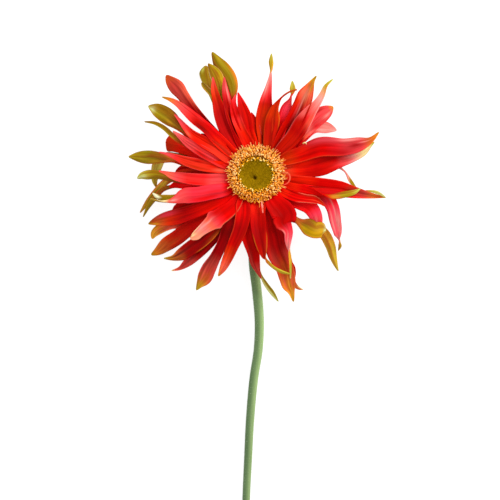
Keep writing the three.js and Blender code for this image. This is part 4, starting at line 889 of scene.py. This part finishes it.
luck = random.Random(11)
bm = painted()
floret_ring(bm, *TRANS_RING, APRICOT)
for k in range(TRANS_ROWS):
    share = k / (TRANS_ROWS - 1)
    start = TRANS_INNER + (TRANS_OUTER - TRANS_INNER) * share
    crest = TRANS_HEIGHT + 1.0 * math.sin(math.pi * min(share + 0.15, 1)) - 1.2 * share**2
    count = int(2 * math.pi * start / TRANS_SPACING)
    for i in range(count):
        angle = 2 * math.pi * (i + luck.uniform(-0.5, 0.5)) / count
        if k == 0 and math.sin(angle) > -0.4:
            continue
        reach = luck.uniform(0.1, 0.9) + 0.5 * share + 0.35 * share * math.sin(angle)
        tip = crest + luck.uniform(-0.7, 0.7)
        keys = [(start, crest - 2.4), (start + 0.05 * reach, tip - 0.7), (start + 0.45 * reach, tip),
                (start + reach, tip - luck.uniform(-0.2, 0.7))]
        body = luck.choice([PEACH, PEACH, APRICOT])
        end = luck.choice([SHELL, SHELL, GLOW, PEACH, PEACH, SALMON if share > 0.4 else GLOW])
        if luck.random() < -0.6 * math.sin(angle):
            body, end = TANGERINE, APRICOT
        floret(bm, angle, keys, TRANS_WIDTH * luck.uniform(0.7, 1.25), luck.uniform(-0.09, 0.09),
               luck.uniform(-80, 80), (0, TANGERINE, 50, APRICOT, 75, body, 95, end), i)
for i in range(FRAY_COUNT):
    angle = luck.gauss(math.radians(75), 1.2)
    reach = luck.uniform(0.8, 3.5)
    keys = [(FRAY_START, 29), (FRAY_START + 0.3, 30.4), (FRAY_START + 0.6 * reach, 30.9),
            (FRAY_START + reach, 30.7 + luck.uniform(-0.3, 0.5))]
    floret(bm, angle, keys, luck.uniform(0.17, 0.32), luck.uniform(-0.06, 0.06), luck.uniform(-40, 40),
           (0, RUST, 50, TANGERINE, 80, luck.choice([APRICOT, SALMON, SHELL]), 100, SALMON), i, 0.26)

# A few florets stand out of the frill in long loose loops and straps: their keys are x, y and height.
STRAYS = [
    dict(keys=[(13, 1, 30.5), (14.6, 1.3, 31.6), (16.3, 0.6, 32), (17.1, -1, 32), (16.8, -3, 31.6),
               (15.4, -4.6, 30.6), (13.5, -5.2, 29.8)], width=1, roll=35,
         shades=[SALMON, CORAL, CORAL, PINK]),
    dict(keys=[(2.9, -12.8, 30), (3.1, -14.5, 30.6), (3.3, -17, 30.4), (3.5, -19.2, 30)], width=0.9, roll=0,
         shades=[SALMON, PALE, CORAL, PALE]),
    dict(keys=[(23.4, 15, 29), (23.7, 15.8, 30.6), (24.4, 16.1, 31), (25.1, 15.7, 30.8), (25.3, 15, 30)],
         width=0.7, roll=50, shades=[PINK, SHELL, GLOW, CREAM]),
]
STRAY_STEPS = 24

places = [i / STRAY_STEPS for i in range(STRAY_STEPS + 1)]
for number, stray in enumerate(STRAYS):
    spine = [Vector(point) for point in through(stray["keys"], places, 3)]
    widths = [stray["width"] * math.sqrt(1 - s**6) * (0.6 + 0.4 * math.sin(math.pi * s)) + 0.03
              for s in places]
    run = colour_run([part for k, shade in enumerate(stray["shades"]) for part in (100 * k / 3, shade)])
    strap(bm, spine, widths, [stray["roll"]] * len(spine), 3, 0.3, lambda a, s: 0.3 * a * a,
          lambda a, s, upper: (*run(s), 1), number)

# Floret: the same thin satin tissue as a petal, paler and a little waxy.
floret_satin = finish("floret_satin", {"Roughness": 0.45, "IOR": 1.42, "Specular IOR Level": 0.08})
grained(floret_satin, 2.0, 0.4, 0.05, (0.88, 0.8, 0.66))
piece("trans_frill", bm, floret_satin, "frill_peach", "trans_florets")

# ---- Open disc florets --------------------------------------------------------------------------
# The ring of open florets at the eye's edge: small cups with yellow anther tubes that carry grains of
# pollen.

POLLEN_YELLOW = 0xF0AE1C
POLLEN_GOLD = 0xD08A0C
POLLEN_CREAM = 0xFFE08A
POLLEN_SHADE = 0xA06E10
ANTHER_COUNT = 165
RIPE_SHARE = 0.3
OPEN_RING = (8.2, 10.2, 30.3)
ANTHER_FOOT = 29.6

luck = random.Random(17)
bm = painted()
# The ring under the anthers is a dark gold: painted shade in the gap between them and the frill.
floret_ring(bm, *OPEN_RING, POLLEN_SHADE)
for i in range(ANTHER_COUNT):
    angle = 2 * math.pi * (i + luck.uniform(0, 0.9)) / ANTHER_COUNT
    ripe = luck.random() < RIPE_SHARE
    radius = (luck.uniform(7.9, 9.3) if ripe else luck.uniform(8.1, 9.6)) - 0.6 * math.sin(angle) ** 2
    height = luck.uniform(31.4, 31.9) if ripe else luck.uniform(30.7, 31.5)
    foot = HEAD + around(angle, radius, ANTHER_FOOT) * MM
    head = HEAD + around(angle, radius, height) * MM
    tube = bmesh.ops.create_cone(bm, segments=6, radius1=0.2 * MM, radius2=0.28 * MM, cap_ends=False,
                                 depth=(head - foot).length, matrix=Matrix.Translation((head + foot) / 2))
    size = luck.uniform(0.3, 0.44) if ripe else luck.uniform(0.28, 0.42)
    turned = Matrix.Translation(head) @ Matrix.Rotation(luck.uniform(0, math.pi), 4, "Z")
    shaped = turned @ Matrix.Diagonal((luck.uniform(1, 1.5), 1, 1.2, 1))
    bead = bmesh.ops.create_icosphere(bm, subdivisions=1, radius=size * MM, matrix=shaped)
    colour = linear(luck.choice([POLLEN_CREAM, POLLEN_CREAM, POLLEN_YELLOW] if ripe else
                                [POLLEN_YELLOW, POLLEN_YELLOW, POLLEN_GOLD]))
    paint(bm, tube["verts"] + bead["verts"], colour)
grain_by_place(bm)

# Pollen: dry waxy yellow grains that cake the anthers.
pollen = finish("pollen_on_anthers", {"Roughness": 0.7, "IOR": 1.4, "Specular IOR Level": 0.1})
grained(pollen, 3.0, 3.0, 0.15, (0.85, 0.75, 0.5))
piece("anther_ring", bm, pollen, "pollen_yellow", "open_disc_florets")

# ---- Disc buds ----------------------------------------------------------------------------------
# The eye: some hundreds of closed florets packed in a shallow bowl, in crossing spirals, smallest and
# darkest at the small hole in the middle, with painted shade on the bowl's upper-left slope.

BUD_OLIVE = 0xAC8604
BUD_GOLD = 0xC09810
BUD_DARK = 0x4A2E02
EYE_RADIUS = 8.2
EYE_RIM = 30.9
EYE_DIP = 2.2
EYE_SHIFT = (-0.5, -1.6)
BUD_COUNT = 620
GOLDEN_TURN = math.pi * (3 - math.sqrt(5))
SHADE_SIDE_TURN = math.radians(130)

luck = random.Random(23)
bm = painted()


def bowl_height(r):
    """The bowl's height at radius r, in millimetres."""
    return EYE_RIM - EYE_DIP * (1 - (r / EYE_RADIUS) ** 1.6) - 1.4 * math.exp(-((r / 0.8) ** 2))


def eye_point(angle, r, height):
    """A point of the eye, whose hole lies a little below the middle."""
    return HEAD + (around(angle, r, height) + Vector((*EYE_SHIFT, 0)) * (1 - (r / EYE_RADIUS) ** 2)) * MM


radii = [EYE_RADIUS * k / 20 for k in range(21)]
dish = [(r, bowl_height(r) - 0.25) for r in radii] + [(EYE_RADIUS, RING_FOOT), (0, RING_FOOT)]
lathe(bm, dish, 64, BUD_OLIVE)
for v in bm.verts:
    r = ((v.co - HEAD).xy / MM).length
    v.co += Vector((*EYE_SHIFT, 0)) * MM * (1 - (r / EYE_RADIUS) ** 2)
    v[bm.verts.layers.float_color["tint"]] = blend(linear(BUD_DARK), linear(BUD_OLIVE), ramp(0.3, 1.6, r))
for i in range(BUD_COUNT):
    r = EYE_RADIUS * math.sqrt((i + 4) / (BUD_COUNT + 4)) * 0.985
    angle = i * GOLDEN_TURN
    share = r / EYE_RADIUS
    size = 0.16 + 0.14 * share + luck.uniform(-0.02, 0.02)
    slope = 2 * EYE_DIP * r / EYE_RADIUS**2
    turn = Matrix.Rotation(angle, 4, "Z") @ Matrix.Rotation(-math.atan(slope), 4, "Y")
    spot = eye_point(angle, r, bowl_height(r) + luck.uniform(-0.1, 0.1))
    shaped = Matrix.Translation(spot) @ turn @ Matrix.Diagonal((1.5, 0.9, 1.4, 1))
    bud = bmesh.ops.create_icosphere(bm, subdivisions=1, radius=size * MM, matrix=shaped)
    # Painted shade on the bowl's upper-left slope: buds near the hole on that side are darker, and the dark
    # middle reaches further that way.
    toward_shade = max(math.cos(angle - SHADE_SIDE_TURN), 0)
    bowl_shade = 0.4 * math.exp(-(((share - 0.2) / 0.15) ** 2)) * toward_shade
    green = linear(luck.choice([BUD_OLIVE, BUD_OLIVE, BUD_GOLD]))
    light = ramp(0.02, 0.2, share * (1 - 0.5 * toward_shade)) * luck.uniform(0.75, 1) * (1 - bowl_shade)
    paint(bm, bud["verts"], blend(linear(BUD_DARK), green, light))
grain_by_place(bm)

# Bud: matt olive green tissue with a fine felt.
bud_felt = finish("bud_felt", {"Roughness": 0.7, "IOR": 1.4, "Specular IOR Level": 0.03})
grained(bud_felt, 3.0, 3.0, 0.1, (0.7, 0.75, 0.5))
piece("eye", bm, bud_felt, "bud_olive", "disc_buds")

# ---- Studio -------------------------------------------------------------------------------------
# A plain white floor, soft light from large panels, and a long lens that looks straight down.

FLOOR_SIZE = 8
FLOOR_WHITE = 0x909090
FRAME_WIDTH = 0.25
CAMERA_HEIGHT = 2.5
FOCUS_HEIGHT = 25
FRAME_CENTRE = (-2.94, -37.58)
FLOOR_GLOW = 0.85
ROOM_LIGHT = 0.66
WHITE = 0xFFFFFF

bpy.ops.mesh.primitive_plane_add(size=FLOOR_SIZE, location=(0, 0, 0))
floor = bpy.context.object
floor.name = "floor"
white_card = finish("lit_white_card", {
    "Base Color": linear(FLOOR_WHITE), "Roughness": 0.9, "Specular IOR Level": 0.0,
    "Emission Color": linear(WHITE), "Emission Strength": FLOOR_GLOW})
floor.data.materials.append(white_card)


def panel(name, place, size, power, colour):
    """A square light panel that faces the flower's head."""
    lamp = bpy.data.lights.new(name, "AREA")
    lamp.shape = "SQUARE"
    lamp.size = size
    lamp.energy = power
    lamp.color = linear(colour)[:3]
    holder = linked(name, lamp)
    holder.location = place
    holder.rotation_euler = (HEAD - Vector(place)).to_track_quat("-Z", "Y").to_euler()


panel("key_light", (0.8, 0.7, 1.0), 0.7, 20, 0xFFFAF2)
panel("fill_light", (-1.0, 0.2, 0.9), 1.0, 5, 0xF4F8FF)

world = bpy.data.worlds.new("studio")
bpy.context.scene.world = world
world.use_nodes = True
background = world.node_tree.nodes["Background"]
background.inputs["Color"].default_value = linear(WHITE)
background.inputs["Strength"].default_value = ROOM_LIGHT

lens = bpy.data.cameras.new("camera")
camera = linked("camera", lens)
bpy.context.scene.camera = camera
lens.sensor_width = 36
lens.lens = lens.sensor_width * CAMERA_HEIGHT / FRAME_WIDTH
camera.location = HEAD + Vector((*FRAME_CENTRE, FOCUS_HEIGHT)) * MM + UP * CAMERA_HEIGHT
bpy.context.scene.view_settings.view_transform = "Standard"
